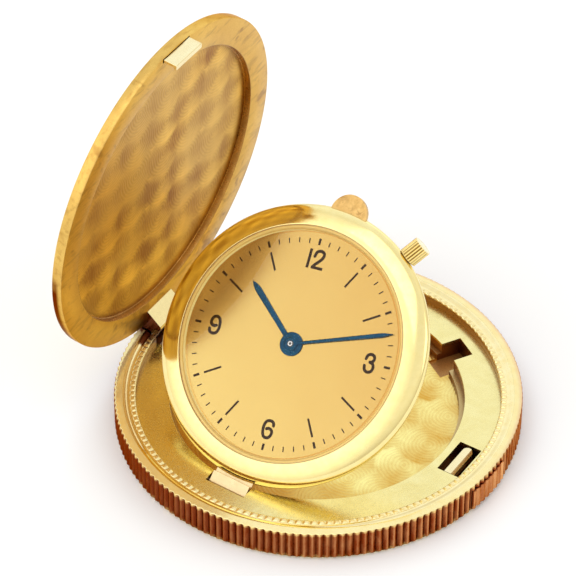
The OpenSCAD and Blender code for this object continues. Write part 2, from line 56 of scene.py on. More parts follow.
LID_M = T(-LHX, 0, LHZ) @ Matrix.Rotation(-LID_OPEN, 4, "Y") @ T(LHX, 0, -LHZ)
REC_M = T(-0.23, 0.18, 0) @ Matrix.Rotation(math.radians(-1.32), 4, "Z")
HEAD_M = REC_M @ T(0, -HDH, HZK) @ Matrix.Rotation(HEAD_TILT, 4, "X") @ T(0, HDH, -HZK)
ID = Matrix.Identity(4)


def put(name, verts, faces, mats, M=ID, body=None, slot=None, smooth=True, index=None, replaces=()):
    me = bpy.data.meshes.new(name)
    me.from_pydata([(x * MM, y * MM, z * MM) for x, y, z in verts], [], faces)
    for m in mats:
        me.materials.append(m)
    if index is not None:
        me.polygons.foreach_set("material_index", index)
    me.polygons.foreach_set("use_smooth", [smooth] * len(me.polygons))
    me.update()
    bm = bmesh.new()
    bm.from_mesh(me)
    bmesh.ops.recalc_face_normals(bm, faces=bm.faces)
    bm.to_mesh(me)
    bm.free()
    ob = bpy.data.objects.new(name, me)
    COLL.objects.link(ob)
    ob.matrix_world = M
    if body:
        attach(ob, body)
    if replaces:
        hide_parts(*replaces)
    return ob


def rings(rows, n, start_cap=True, end_cap=True):
    """rows of (cx, cy, radius or list of radii, z[, material]); a radius of 0 closes to a point."""
    verts, faces, idx, prev = [], [], [], None
    for k, row in enumerate(rows):
        cx, cy, r, z = row[:4]
        m = row[4] if len(row) > 4 else 0
        if not isinstance(r, (list, tuple)) and r == 0:
            cur = [len(verts)]
            verts.append((cx, cy, z if not isinstance(z, (list, tuple)) else z[0]))
        else:
            cur = list(range(len(verts), len(verts) + n))
            for i in range(n):
                a = 2 * math.pi * i / n
                ri = r[i] if isinstance(r, (list, tuple)) else r
                zi = z[i] if isinstance(z, (list, tuple)) else z
                verts.append((cx + ri * math.cos(a), cy + ri * math.sin(a), zi))
        if prev is not None:
            if len(prev) == 1:
                for i in range(n):
                    faces.append((prev[0], cur[i], cur[(i + 1) % n]))
                    idx.append(m)
            elif len(cur) == 1:
                for i in range(n):
                    faces.append((prev[i], cur[0], prev[(i + 1) % n]))
                    idx.append(m)
            else:
                for i in range(n):
                    j = (i + 1) % n
                    faces.append((prev[i], cur[i], cur[j], prev[j]))
                    idx.append(m)
        prev = cur
    return verts, faces, idx


def sharp(ob, deg=35):
    """Smooth faces with hard edges where the surface turns by more than deg."""
    me = ob.data
    bm = bmesh.new()
    bm.from_mesh(me)
    lim = math.radians(deg)
    for e in bm.edges:
        e.smooth = not (len(e.link_faces) == 2 and e.calc_face_angle(0) > lim)
    for f in bm.faces:
        f.smooth = True
    bm.to_mesh(me)
    bm.free()
    return ob


def prism(name, pts, z0, z1, mats, **k):
    n = len(pts)
    v = [(x, y, z0) for x, y in pts] + [(x, y, z1) for x, y in pts]
    f = [tuple(range(n))[::-1], tuple(range(n, 2 * n))] + [(i, (i + 1) % n, n + (i + 1) % n, n + i) for i in range(n)]
    return put(name, v, f, mats, smooth=False, **k)


def cutter(name, verts, faces, M=ID):
    me = bpy.data.meshes.new(name)
    me.from_pydata([(x * MM, y * MM, z * MM) for x, y, z in verts], [], faces)
    bm = bmesh.new()
    bm.from_mesh(me)
    bmesh.ops.recalc_face_normals(bm, faces=bm.faces)
    bm.to_mesh(me)
    bm.free()
    me.transform(M)
    ob = bpy.data.objects.new(name, me)
    COLL.objects.link(ob)
    return ob


def box_vf(x0, x1, y0, y1, z0, z1):
    v = [(x, y, z) for z in (z0, z1) for y in (y0, y1) for x in (x0, x1)]
    return v, [(0, 2, 3, 1), (4, 5, 7, 6), (0, 1, 5, 4), (2, 6, 7, 3), (0, 4, 6, 2), (1, 3, 7, 5)]


def cyl_vf(cx, cy, r, z0, z1, n=96):
    v = [(cx + r * math.cos(2 * math.pi * i / n), cy + r * math.sin(2 * math.pi * i / n), z) for z in (z0, z1) for i in range(n)]
    f = [tuple(range(n))[::-1], tuple(range(n, 2 * n))] + [(i, (i + 1) % n, n + (i + 1) % n, n + i) for i in range(n)]
    return v, f


def boolean(ob, cuts, op="DIFFERENCE", transfer=False):
    """Cuts each piece away and keeps the result as the mesh."""
    for c in cuts:
        m = ob.modifiers.new("cut", "BOOLEAN")
        m.operation, m.object, m.solver = op, c, "EXACT"
        if transfer:
            m.material_mode = "TRANSFER"
    bpy.context.view_layer.update()
    dg = bpy.context.evaluated_depsgraph_get()
    me = bpy.data.meshes.new_from_object(ob.evaluated_get(dg), depsgraph=dg)
    ob.modifiers.clear()
    old = ob.data
    ob.data = me
    bpy.data.meshes.remove(old)
    for c in cuts:
        bpy.data.objects.remove(c)
    return ob


def bevel(ob, w, seg=2, deg=40):
    m = ob.modifiers.new("edge", "BEVEL")
    m.width, m.segments, m.limit_method, m.angle_limit = w * MM, seg, "ANGLE", math.radians(deg)
    m.harden_normals = False
    m.miter_outer = "MITER_ARC"
    m.use_clamp_overlap = True
    return ob


# --------------------------------------------------------------- materials
class N:
    """A small helper for node trees."""

    def __init__(self, name):
        self.m = bpy.data.materials.new(name)
        self.m.use_nodes = True
        self.t = self.m.node_tree
        self.t.nodes.clear()
        self.out = self.t.nodes.new("ShaderNodeOutputMaterial")

    def new(self, kind, **k):
        n = self.t.nodes.new(kind)
        for a, v in k.items():
            setattr(n, a, v)
        return n

    def link(self, a, b):
        self.t.links.new(a, b)

    def set(self, sock, v):
        if hasattr(v, "links") or hasattr(v, "is_output"):
            self.t.links.new(v, sock)
        else:
            sock.default_value = v

    def math(self, op, a, b=0.0, c=0.0):
        n = self.new("ShaderNodeMath", operation=op)
        self.set(n.inputs[0], a)
        if len(n.inputs) > 1:
            self.set(n.inputs[1], b)
        if op in ("MULTIPLY_ADD", "COMPARE", "SMOOTH_MIN", "WRAP"):
            self.set(n.inputs[2], c)
        return n.outputs[0]

    def mixf(self, f, a, b):
        n = self.new("ShaderNodeMix", data_type="FLOAT")
        self.set(n.inputs[0], f)
        self.set(n.inputs[2], a)
        self.set(n.inputs[3], b)
        return n.outputs[0]

    def mixc(self, f, a, b, blend="MIX"):
        n = self.new("ShaderNodeMix", data_type="RGBA", blend_type=blend)
        self.set(n.inputs[0], f)
        self.set(n.inputs[6], a if hasattr(a, "links") else (*a, 1.0) if len(a) == 3 else a)
        self.set(n.inputs[7], b if hasattr(b, "links") else (*b, 1.0) if len(b) == 3 else b)
        return n.outputs[2]

    def coord(self):
        """Object coordinates in millimetres."""
        tc = self.new("ShaderNodeTexCoord")
        v = self.new("ShaderNodeVectorMath", operation="SCALE")
        self.link(tc.outputs["Object"], v.inputs[0])
        v.inputs["Scale"].default_value = 1000.0
        return v.outputs[0]

    def xyz(self, v):
        s = self.new("ShaderNodeSeparateXYZ")
        self.link(v, s.inputs[0])
        return s.outputs[0], s.outputs[1], s.outputs[2]

    def noise(self, v, scale, detail=3.0, rough=0.55, dist=0.0):
        n = self.new("ShaderNodeTexNoise")
        self.link(v, n.inputs["Vector"])
        n.inputs["Scale"].default_value = scale
        n.inputs["Detail"].default_value = detail
        n.inputs["Roughness"].default_value = rough
        n.inputs["Distortion"].default_value = dist
        return n.outputs[0]

    def vmul(self, v, k):
        n = self.new("ShaderNodeVectorMath", operation="MULTIPLY")
        self.link(v, n.inputs[0])
        n.inputs[1].default_value = k
        return n.outputs[0]

    def range(self, v, a, b, c=0.0, d=1.0):
        n = self.new("ShaderNodeMapRange")
        self.set(n.inputs[0], v)
        for i, x in enumerate((a, b, c, d)):
            n.inputs[i + 1].default_value = x
        return n.outputs[0]

    def bump(self, h, dist, strength=1.0, normal=None):
        n = self.new("ShaderNodeBump")
        self.set(n.inputs["Height"], h)
        n.inputs["Distance"].default_value = dist * MM
        n.inputs["Strength"].default_value = strength
        if normal is not None:
            self.link(normal, n.inputs["Normal"])
        return n.outputs[0]

    def ao(self, dist, lo=0.0, hi=1.0, power=1.0):
        """0 deep in a cavity, 1 in the open."""
        n = self.new("ShaderNodeAmbientOcclusion", samples=12)
        n.inputs["Distance"].default_value = dist * MM
        r = self.range(n.outputs["AO"], lo, hi)
        return self.math("POWER", r, power) if power != 1.0 else r

    def metal(self, color, rough, normal=None, aniso=0.0, tangent=None, metallic=1.0, coat=0.0, spec=0.5, edge=None):
        p = self.new("ShaderNodeBsdfPrincipled")
        self.set(p.inputs["Base Color"], color if hasattr(color, "links") else (*color, 1.0))
        self.set(p.inputs["Roughness"], rough)
        p.inputs["Metallic"].default_value = metallic
        p.inputs["Specular IOR Level"].default_value = spec
        if aniso:
            p.inputs["Anisotropic"].default_value = aniso
        if tangent is not None:
            self.link(tangent, p.inputs["Tangent"])
        if edge:
            p.inputs["Specular Tint"].default_value = (*edge, 1.0)
        if coat:
            p.inputs["Coat Weight"].default_value = coat
            p.inputs["Coat Roughness"].default_value = 0.08
        if normal is not None:
            self.link(normal, p.inputs["Normal"])
        self.link(p.outputs[0], self.out.inputs[0])
        return p


def m_polished(name, col, col2=None, rough=0.09, wear=0.5, bump=0.0006, scale=1.3):
    """Polished metal with soft handling marks and hairline scratches."""
    n = N(name)
    v = n.coord()
    cloud = n.noise(v, scale, 4, 0.6)
    streak = n.noise(n.vmul(v, (9.0, 1.0, 3.0)), 2.0, 3, 0.6)
    r = n.math("ADD", n.range(cloud, 0.35, 0.7, rough * 0.7, rough * (1 + wear)), n.range(streak, 0.4, 0.8, 0.0, rough * 0.5))
    c = n.mixc(n.range(cloud, 0.3, 0.75), col, col2 or tuple(x * 0.93 for x in col))
    n.metal(c, r, n.bump(n.math("ADD", streak, cloud), bump, 0.6))
    return n.m


def m_satin(name, col, col2, rough=0.34, grain=14.0, bump=0.004, blot=0.5, cavity=None, dist=1.2, span=(0.35, 0.95), power=1.0):
    """Fine satin or bead-blasted metal with faint blotches, and painted shade mixed in by ambient occlusion where it
    lies deep.
    """
    n = N(name)
    v = n.coord()
    fine = n.noise(v, grain, 2, 0.7)
    cloud = n.noise(v, blot, 4, 0.65, 0.4)
    c = n.mixc(n.range(cloud, 0.35, 0.68), col, col2)
    c = n.mixc(n.range(fine, 0.35, 0.65, 0.0, 0.12), c, tuple(x * 0.8 for x in col2))
    if cavity:
        # painted shade: the cavity colour is mixed in where ambient occlusion finds the surface enclosed
        c = n.mixc(n.ao(dist, span[0], span[1], power), cavity, c)
    r = n.math("ADD", n.range(fine, 0.3, 0.7, rough - 0.05, rough + 0.06), n.range(cloud, 0.3, 0.8, -0.03, 0.05))
    n.metal(c, r, n.bump(fine, bump, 0.8))
    return n.m


def m_faced(name, flat, wall, cavity, dist, span, rough=0.3):
    """Machined part: satin on the faces that look up, with painted shade down its walls, deeper down and in its
    pockets.
    """
    n = N(name)
    v = n.coord()
    fine = n.noise(v, 12.0, 3, 0.65)
    g = n.new("ShaderNodeNewGeometry")
    up = n.xyz(g.outputs["Normal"])[2]
    # painted shade: faces that do not look up take the darker wall colour
    m = n.new("ShaderNodeMapRange", interpolation_type="SMOOTHSTEP")
    n.link(up, m.inputs[0])
    for k, q in enumerate((0.4, 0.85, 0.0, 1.0)):
        m.inputs[k + 1].default_value = q
    open_ = n.mixc(m.outputs[0], wall, flat)
    # painted shade: darker the deeper it lies and where ambient occlusion finds a pocket
    deep = n.range(n.xyz(v)[2], 0.45, 1.30, 0.15, 1.0)
    c = n.mixc(n.math("MULTIPLY", n.ao(dist, span[0], span[1]), deep), cavity, open_)
    c = n.mixc(n.range(fine, 0.35, 0.7, 0.0, 0.2), c, tuple(k * 0.6 for k in wall))
    n.metal(c, n.range(fine, 0.3, 0.7, rough - 0.05, rough + 0.08), n.bump(fine, 0.003, 0.7))
    return n.m


def m_perlage(name, lo, hi, px, py, rad, off=(0.0, 0.0), ring=0.3, rough=0.30, bump=0.006, highlight_lobes=0.55, soft=0.7, turn=0.0, rings_in=0.05, shadow=None, tint=None):
    """Overlapping circular graining: each spot has fine rings and two opposite painted highlight lobes, standing in for
    the way its graining turns the light.
    """
    n = N(name)
    v0 = n.coord()
    x, y, z = n.xyz(v0)
    warp = n.noise(v0, 0.35, 2, 0.5)
    wv = n.math("MULTIPLY", n.math("SUBTRACT", warp, 0.5), 0.9)
    ct, st = math.cos(turn), math.sin(turn)
    xr = n.math("ADD", n.math("ADD", n.math("MULTIPLY", x, ct), n.math("MULTIPLY", y, -st)), wv)
    yr = n.math("SUBTRACT", n.math("ADD", n.math("MULTIPLY", x, st), n.math("MULTIPLY", y, ct)), n.math("MULTIPLY", wv, 0.5))
    u = n.math("DIVIDE", n.math("SUBTRACT", xr, off[0]), px)
    w = n.math("DIVIDE", n.math("SUBTRACT", yr, off[1]), py)
    iu, iw = n.math("FLOOR", u), n.math("FLOOR", w)
    wob = n.noise(v0, 1.2, 3, 0.6)
    wob12 = n.math("MULTIPLY", wob, 0.25)
    shade, height = None, None
    # lowest laid first, the last one that reaches a point lies on top
    for dj, di in ((0, -1), (-1, 0), (0, 0), (1, 0), (0, 1)):
        cj = n.math("ADD", iw, dj + 0.5)
        ci = n.math("ADD", iu, di + 0.5)
        seed = n.math("ADD", n.math("MULTIPLY", ci, 12.9), n.math("MULTIPLY", cj, 78.2))
        jit = n.math("MULTIPLY", n.math("SINE", seed), 0.22)
        a = n.math("ADD", n.math("MULTIPLY", n.math("SUBTRACT", u, ci), px), jit)
        b = n.math("SUBTRACT", n.math("MULTIPLY", n.math("SUBTRACT", w, cj), py), jit)
        aa, bb = n.math("MULTIPLY", a, a), n.math("MULTIPLY", b, b)
        d2 = n.math("ADD", aa, bb)
        r = n.math("SQRT", d2)
        # painted highlight: bright and dark lobes round each spot's centre, as its graining would reflect the light
        highlight_lobe = n.math("DIVIDE", n.math("SUBTRACT", aa, bb), n.math("ADD", d2, 0.05))
        highlight_lobe = n.math("MULTIPLY", highlight_lobe, n.range(r, 0.0, rad * 0.75, 0.15, 1.0))
        line = n.math("SINE", n.math("MULTIPLY", n.math("ADD", r, wob12), 2 * math.pi / ring))
        amp = n.math("ADD", n.math("MULTIPLY", n.math("SINE", n.math("MULTIPLY", seed, 1.7)), 0.3), 0.75)
        sh = n.math("MULTIPLY", n.math("MULTIPLY", highlight_lobe, amp), highlight_lobes * 0.5)
        sh = n.math("ADD", sh, n.math("MULTIPLY", line, rings_in))
        sh = n.math("ADD", sh, n.math("MULTIPLY", n.math("SINE", n.math("MULTIPLY", seed, 3.1)), 0.05))
        if shade is None:
            shade, height = sh, line
            continue
        m = n.new("ShaderNodeMapRange", interpolation_type="SMOOTHSTEP")
        n.link(r, m.inputs[0])
        for k, q in enumerate((rad, rad - soft, 0.0, 1.0)):
            m.inputs[k + 1].default_value = q
        shade, height = n.mixf(m.outputs[0], shade, sh), n.mixf(m.outputs[0], height, line)
    shade = n.math("ADD", shade, 0.5)
    cloud = n.noise(v0, 0.22, 3, 0.6)
    shade = n.math("ADD", shade, n.range(cloud, 0.3, 0.7, -0.16, 0.16))
    mottle = n.noise(v0, 1.6, 4, 0.7)
    shade = n.math("ADD", shade, n.range(mottle, 0.3, 0.7, -0.11, 0.11))
    c = n.mixc(n.range(shade, 0.0, 1.0), lo, hi)
    if tint:
        c = n.mixc(n.range(n.noise(v0, 0.16, 2, 0.5), 0.38, 0.62), c, n.mixc(0.5, c, tint))
    if shadow:
        c = n.mixc(n.ao(shadow[1], shadow[2], shadow[3]), shadow[0], c)
    n.metal(c, n.range(shade, 0.0, 1.0, rough + 0.06, rough - 0.04), n.bump(height, bump, 0.5))
    return n.m


def m_mottled(name, col, col2, spot, rough=0.3, scale=0.5, spots=0.55, size=0.35, shadow=None, copper_reflection=None):
    """Brushed border with cloudy tone and small dark smudges."""
    n = N(name)
    v = n.coord()
    cloud = n.noise(v, scale, 4, 0.65, 0.6)
    fine = n.noise(v, 9.0, 3, 0.6)
    c = n.mixc(n.range(cloud, 0.32, 0.68), col, col2)
    c = n.mixc(n.range(fine, 0.35, 0.7, 0.0, 0.25), c, tuple(x * 0.8 for x in col2))
    sp = n.noise(n.vmul(v, (1.0, 1.0, 0.5)), size, 3, 0.75, 0.3)
    s1 = n.new("ShaderNodeMapRange", interpolation_type="SMOOTHSTEP")
    n.link(sp, s1.inputs[0])
    for k, q in enumerate((spots, spots + 0.13, 0.0, 0.75)):
        s1.inputs[k + 1].default_value = q
    c = n.mixc(s1.outputs[0], c, spot)
    dash = n.noise(n.vmul(v, (1.0, 0.22, 1.0)), 1.9, 2, 0.6)
    c = n.mixc(n.range(dash, 0.52, 0.70, 0.0, 0.45), c, spot)
    # painted reflection: the edge on the hinge side is painted dark copper red for the reeded rim it reflects
    if copper_reflection:
        x, y, z = n.xyz(v)
        g = n.math("ADD", x, n.math("MULTIPLY", cloud, 3.0))
        c = n.mixc(n.math("MULTIPLY", n.range(z, 2.15, 2.45), n.range(g, 0.4, 2.2, 1.0, 0.0)), c, copper_reflection)
    if shadow:
        c = n.mixc(n.ao(shadow[1], shadow[2], shadow[3]), shadow[0], c)
    n.metal(c, n.range(fine, 0.3, 0.7, rough - 0.04, rough + 0.06), n.bump(n.math("ADD", fine, cloud), 0.004, 0.6), edge=(0.80, 0.55, 0.35) if copper_reflection else None)
    return n.m


def m_reed(name, lo, mid, hi, gold, count=174.0):
    """Reeded edge: reddish gold, with painted shade down the grooves, painted highlights along the crests and gold at
    the top.
    """
    n = N(name)
    v = n.coord()
    x, y, z = n.xyz(v)
    r = n.math("SQRT", n.math("ADD", n.math("MULTIPLY", x, x), n.math("MULTIPLY", y, y)))
    crest = n.range(r, 16.81, 17.0)
    blot = n.noise(n.vmul(v, (1.0, 1.0, 0.35)), 1.3, 4, 0.7)
    ang = n.math("ARCTAN2", y, x)
    cell = n.math("FLOOR", n.math("ADD", n.math("MULTIPLY", ang, count / (2 * math.pi)), 0.5))
    rnd = n.new("ShaderNodeTexWhiteNoise", noise_dimensions="1D")
    n.link(cell, rnd.inputs["W"])
    # painted shade down the grooves and painted highlight along the crests
    c = n.mixc(n.range(crest, 0.05, 0.95), lo, mid)
    c = n.mixc(n.math("MULTIPLY", n.range(blot, 0.42, 0.66), n.math("MULTIPLY", crest, 0.45)), c, hi)
    # painted light: the side away from the hinge is painted lighter, with stronger crest highlights, and the hinge side
    # painted in shade
    worn_and_lit = n.range(n.math("ADD", x, n.math("MULTIPLY", y, 0.2)), -14.0, 15.0, 0.25, 1.0)
    streak = n.math("MULTIPLY", n.math("POWER", crest, 7.0), n.range(rnd.outputs[0], 0.1, 1.0, 0.25, 1.0))
    c = n.mixc(n.math("MULTIPLY", streak, worn_and_lit), c, hi)
    c = n.mixc(n.range(worn_and_lit, 0.25, 1.0, 0.72, 0.0), c, (0.10, 0.010, 0.003))
    c = n.mixc(n.range(worn_and_lit, 0.25, 1.0, 0.35, 0.0), c, (0.36, 0.066, 0.018))
    top = n.new("ShaderNodeMapRange", interpolation_type="SMOOTHSTEP")
    n.link(n.math("ADD", z, n.math("MULTIPLY", n.math("SUBTRACT", blot, 0.5), 0.35)), top.inputs[0])
    for k, q in enumerate((2.45, 2.72, 0.0, 0.85)):
        top.inputs[k + 1].default_value = q
    c = n.mixc(n.math("MULTIPLY", top.outputs[0], n.range(crest, 0.2, 0.9, 0.1, 1.0)), c, gold)
    lip = n.math("MULTIPLY", n.range(r, 16.90, 16.94), n.range(n.math("ADD", y, n.math("MULTIPLY", x, 0.25)), 1.0, 7.0, 0.0, 0.75))
    c = n.mixc(n.math("MULTIPLY", lip, n.range(z, 2.5, 2.68)), c, (0.40, 0.13, 0.07))
    low = n.range(n.math("SUBTRACT", z, n.math("MULTIPLY", rnd.outputs[0], 0.25)), 0.0, 0.32, 0.55, 0.0)
    c = n.mixc(n.math("MULTIPLY", low, n.range(blot, 0.4, 0.6)), c, gold)
    n.metal(c, n.range(blot, 0.3, 0.7, 0.22, 0.36), n.bump(n.noise(v, 6, 3), 0.006, 0.5), edge=(0.72, 0.42, 0.30))
    return n.m


def m_plain(name, col, rough, metallic=0.0, col2=None, grain=6.0, bump=0.002, coat=0.0, spec=0.5):
    n = N(name)
    v = n.coord()
    f = n.noise(v, grain, 3, 0.6)
    c = n.mixc(n.range(f, 0.3, 0.7), col, col2 or tuple(x * 0.9 for x in col))
    n.metal(c, n.range(f, 0.3, 0.7, rough * 0.85, rough * 1.15), n.bump(f, bump, 0.4), metallic=metallic, coat=coat, spec=spec)
    return n.m


def m_dial(name, deep, pale):
    """Smooth gilding with a painted light gradient, a little paler across the dial."""
    n = N(name)
    v = n.coord()
    x, y, z = n.xyz(v)
    # painted light: a straight gradient runs paler across the dial
    light_run = n.math("SUBTRACT", n.math("MULTIPLY", x, -0.6), n.math("MULTIPLY", y, 0.8))
    f = n.math("ADD", light_run, n.math("MULTIPLY", n.math("SUBTRACT", n.noise(v, 0.25, 2, 0.5), 0.5), 6.0))
    c = n.mixc(n.range(f, -9.0, 22.0), deep, pale)
    fine = n.noise(v, 30.0, 1, 0.5)
    n.metal(c, n.range(fine, 0.3, 0.7, 0.14, 0.17), None, metallic=0.8)
    return n.m


def m_clear(name, a, b):
    """Ground side of the glass, faintly tinted gold as a painted reflection of the gold round it."""
    n = N(name)
    tr = n.new("ShaderNodeBsdfTransparent")
    n.link(n.mixc(n.range(n.noise(n.coord(), 1.5, 2, 0.5), 0.35, 0.65), a, b), tr.inputs["Color"])
    n.link(tr.outputs[0], n.out.inputs[0])
    return n.m


def m_rim(name, col, col2, rough, metallic, cavity=None, dist=0.1, span=(0.3, 0.9)):
    """Polished rim with painted shade and dark reflection close to the lid's hinge, held back along its crest, which
    keeps a painted highlight.
    """
    n = N(name)
    v = n.coord()
    x, y, z = n.xyz(v)
    f = n.noise(v, 1.6, 3, 0.6)
    c = n.mixc(n.range(f, 0.3, 0.7), col, col2)
    # painted shade where ambient occlusion finds the rim enclosed
    if cavity:
        c = n.mixc(n.ao(dist, span[0], span[1]), cavity, c)
    # painted shade and dark reflection close to the lid's hinge, held back along the crest, which keeps its painted
    # highlight
    x2 = n.math("ADD", x, 16.0)
    yy = n.math("MULTIPLY", y, y)
    d = n.math("SQRT", n.math("ADD", n.math("MULTIPLY", x2, x2), yy))
    r = n.math("SQRT", n.math("ADD", n.math("MULTIPLY", x, x), yy))
    crest = n.range(n.math("ABSOLUTE", n.math("SUBTRACT", r, 16.36)), 0.04, 0.12, 0.3, 1.0)
    g = n.math("MULTIPLY", n.range(n.math("ADD", d, f), 2.6, 4.0, 0.9, 0.0), crest)
    c = n.mixc(g, c, (0.13, 0.035, 0.018))
    lip = n.math("MULTIPLY", n.range(r, 16.62, 16.90), n.range(n.math("ADD", y, n.math("MULTIPLY", x, 0.25)), 1.0, 7.0, 0.0, 0.55))
    c = n.mixc(lip, c, (0.74, 0.42, 0.26))
    n.metal(c, n.range(f, 0.3, 0.7, rough * 0.85, rough * 1.15), n.bump(f, 0.0008, 0.4), metallic=metallic)
    return n.m


def m_lid_lug(name, bright, dark):
    """Bright polished nose, with painted shade dark red-brown on the cheeks of the knuckle."""
    n = N(name)
    v = n.coord()
    f = n.noise(v, 3.0, 3, 0.6)
    g = n.new("ShaderNodeNewGeometry")
    ny = n.math("ABSOLUTE", n.xyz(g.outputs["Normal"])[1])
    c = n.mixc(n.range(f, 0.3, 0.7, 0.0, 0.4), bright, tuple(k * 0.85 for k in bright))
    # painted shade: faces turned along y, the knuckle's cheeks, take the dark colour
    c = n.mixc(n.range(ny, 0.75, 0.95), c, dark)
    n.metal(c, n.range(f, 0.3, 0.7, 0.2, 0.28), n.bump(f, 0.0008, 0.5))
    return n.m


def m_crystal(name, tint=(1.0, 1.0, 1.0), rough=0.01):
    n = N(name)
    fr = n.new("ShaderNodeFresnel")
    fr.inputs["IOR"].default_value = 1.30
    geo = n.new("ShaderNodeNewGeometry")
    front = n.math("MULTIPLY", fr.outputs[0], n.math("SUBTRACT", 1.0, geo.outputs["Backfacing"]))
    tr = n.new("ShaderNodeBsdfTransparent")
    tr.inputs["Color"].default_value = (*tint, 1)
    gl = n.new("ShaderNodeBsdfGlossy")
    n.link(n.range(n.noise(n.coord(), 0.8, 3, 0.6), 0.3, 0.7, rough, rough * 1.6), gl.inputs["Roughness"])
    gl.inputs["Color"].default_value = (1, 1, 1, 1)
    mx = n.new("ShaderNodeMixShader")
    n.link(front, mx.inputs[0])
    n.link(tr.outputs[0], mx.inputs[1])
    n.link(gl.outputs[0], mx.inputs[2])
    n.link(mx.outputs[0], n.out.inputs[0])
    return n.m


# The cavity and shadow colours given below are painted shade, mixed in by ambient occlusion.
CRYSTAL_SIDE = m_clear("crystal_side", (0.97, 0.86, 0.62), (0.90, 0.76, 0.50))
GOLD_RIM = m_rim("gold_rim", (0.96, 0.83, 0.41), (0.94, 0.76, 0.33), 0.15, 0.62)
SLOPE = m_rim("rim_slope", (0.98, 0.85, 0.46), (0.95, 0.78, 0.36), 0.10, 1.0)
DENTIL = m_rim("block_gold", (0.96, 0.82, 0.42), (0.92, 0.74, 0.34), 0.24, 0.9, cavity=(0.50, 0.28, 0.07), dist=0.12, span=(0.3, 0.85))
LID_LUG = m_lid_lug("lid_lug", (0.95, 0.80, 0.40), (0.13, 0.035, 0.018))
GOLD_BEZEL = m_polished("gold_bezel", (0.96, 0.82, 0.38), (0.93, 0.77, 0.32), 0.11)
GOLD_EDGE = m_polished("gold_edge", (0.93, 0.70, 0.25), (0.82, 0.54, 0.17), 0.2)
GOLD_PLATE = m_satin("gold_plate", (0.93, 0.82, 0.38), (0.88, 0.75, 0.31), 0.24, 5, 0.0025, cavity=(0.64, 0.34, 0.11), dist=3.2, span=(0.05, 0.36))
GOLD_BRIGHT = m_satin("gold_bright", (0.97, 0.85, 0.50), (0.93, 0.78, 0.42), 0.22, 10, 0.003, cavity=(0.10, 0.04, 0.01), dist=0.6, span=(0.1, 0.7))
GOLD_CRADLE = m_faced("gold_cradle", (0.95, 0.74, 0.32), (0.42, 0.19, 0.06), (0.12, 0.036, 0.016), 2.2, (0.12, 0.62))
GOLD_CROWN = m_satin("gold_crown", (0.92, 0.75, 0.32), (0.84, 0.65, 0.25), 0.22, 10, 0.003, cavity=(0.34, 0.21, 0.05), dist=0.16, span=(0.40, 0.92))
GOLD_TAB = m_mottled("gold_tab", (0.80, 0.54, 0.21), (0.66, 0.41, 0.14), (0.40, 0.22, 0.07), 0.34, scale=1.4, size=1.1)
REED = m_reed("reed_copper", (0.075, 0.009, 0.002), (0.36, 0.066, 0.014), (0.93, 0.50, 0.21), (0.95, 0.69, 0.26))
PERL_LID = m_perlage("perlage_lid", (0.34, 0.135, 0.012), (0.91, 0.55, 0.085), 3.3, 3.8, 2.75, off=(-1.6, -1.9), ring=0.3, rough=0.34, highlight_lobes=1.05, soft=0.8, rings_in=0.08,
                     shadow=((0.16, 0.06, 0.01), 0.8, 0.35, 0.95), tint=(0.58, 0.35, 0.09))
PERL_FLOOR = m_perlage("perlage_floor", (0.70, 0.39, 0.06), (1.0, 0.89, 0.33), 3.45, 3.45, 2.6, off=(1.1, -3.6), ring=0.31, rough=0.22, highlight_lobes=0.75, soft=0.35, rings_in=0.075,
                       shadow=((0.44, 0.19, 0.03), 5.0, 0.15, 0.84))
LID_SATIN = m_mottled("lid_satin", (0.78, 0.48, 0.095), (0.68, 0.385, 0.07), (0.36, 0.18, 0.04), 0.33, scale=0.35, shadow=((0.20, 0.10, 0.02), 0.5, 0.25, 0.75))
LID_EDGE = m_mottled("lid_edge", (0.84, 0.56, 0.15), (0.72, 0.44, 0.11), (0.45, 0.22, 0.05), 0.30, scale=0.3, shadow=((0.30, 0.10, 0.02), 4.0, 0.12, 0.42), copper_reflection=(0.15, 0.016, 0.004))
STEEL = m_polished("steel", (0.70, 0.70, 0.71), (0.6, 0.6, 0.62), 0.2)
SPRING = m_polished("spring_steel", (0.55, 0.57, 0.62), (0.48, 0.5, 0.56), 0.25)
BRASS = m_satin("wheel_brass", (0.86, 0.66, 0.30), (0.78, 0.58, 0.24), 0.25, 12, 0.003)
PLATE = m_satin("movement_plate", (0.74, 0.74, 0.74), (0.66, 0.66, 0.67), 0.28, 14, 0.003)
BLUE = m_polished("blued_steel", (0.004, 0.062, 0.115), (0.004, 0.045, 0.105), 0.24)
DIAL = m_dial("dial_gilt", (0.548, 0.328, 0.082), (0.690, 0.530, 0.178))
INK = m_plain("dial_ink", (0.036, 0.015, 0.004), 0.8, 0.0, (0.046, 0.020, 0.006), 8.0, spec=0.10)
GASKET = m_plain("gasket", (0.52, 0.33, 0.13), 0.5)
RUBY = m_plain("ruby", (0.5, 0.02, 0.06), 0.1, 0.0, (0.6, 0.03, 0.08), coat=0.6)
CRYSTAL = m_crystal("crystal_clear")
CRYSTAL_CHAMFER = m_crystal("crystal_chamfer", (0.97, 0.90, 0.80), 0.05)
CRYSTAL_LINE = m_crystal("crystal_line", (0.86, 0.68, 0.45), 0.1)
REHAUT = m_plain("rehaut_gold", (0.95, 0.80, 0.35), 0.35, 0.25, (0.91, 0.75, 0.30), 12.0, 0.001, spec=0.3)
CROWN_END = m_polished("crown_end", (0.98, 0.90, 0.62), (0.95, 0.84, 0.52), 0.2)
LUG = m_plain("lug_gold", (0.84, 0.67, 0.38), 0.3, 0.7, (0.80, 0.61, 0.33), 2.0, 0.0006)
PIN = m_satin("pin_silver", (0.72, 0.72, 0.68), (0.62, 0.60, 0.55), 0.25, 9, 0.002, cavity=(0.12, 0.10, 0.08), dist=0.06, span=(0.5, 0.98))

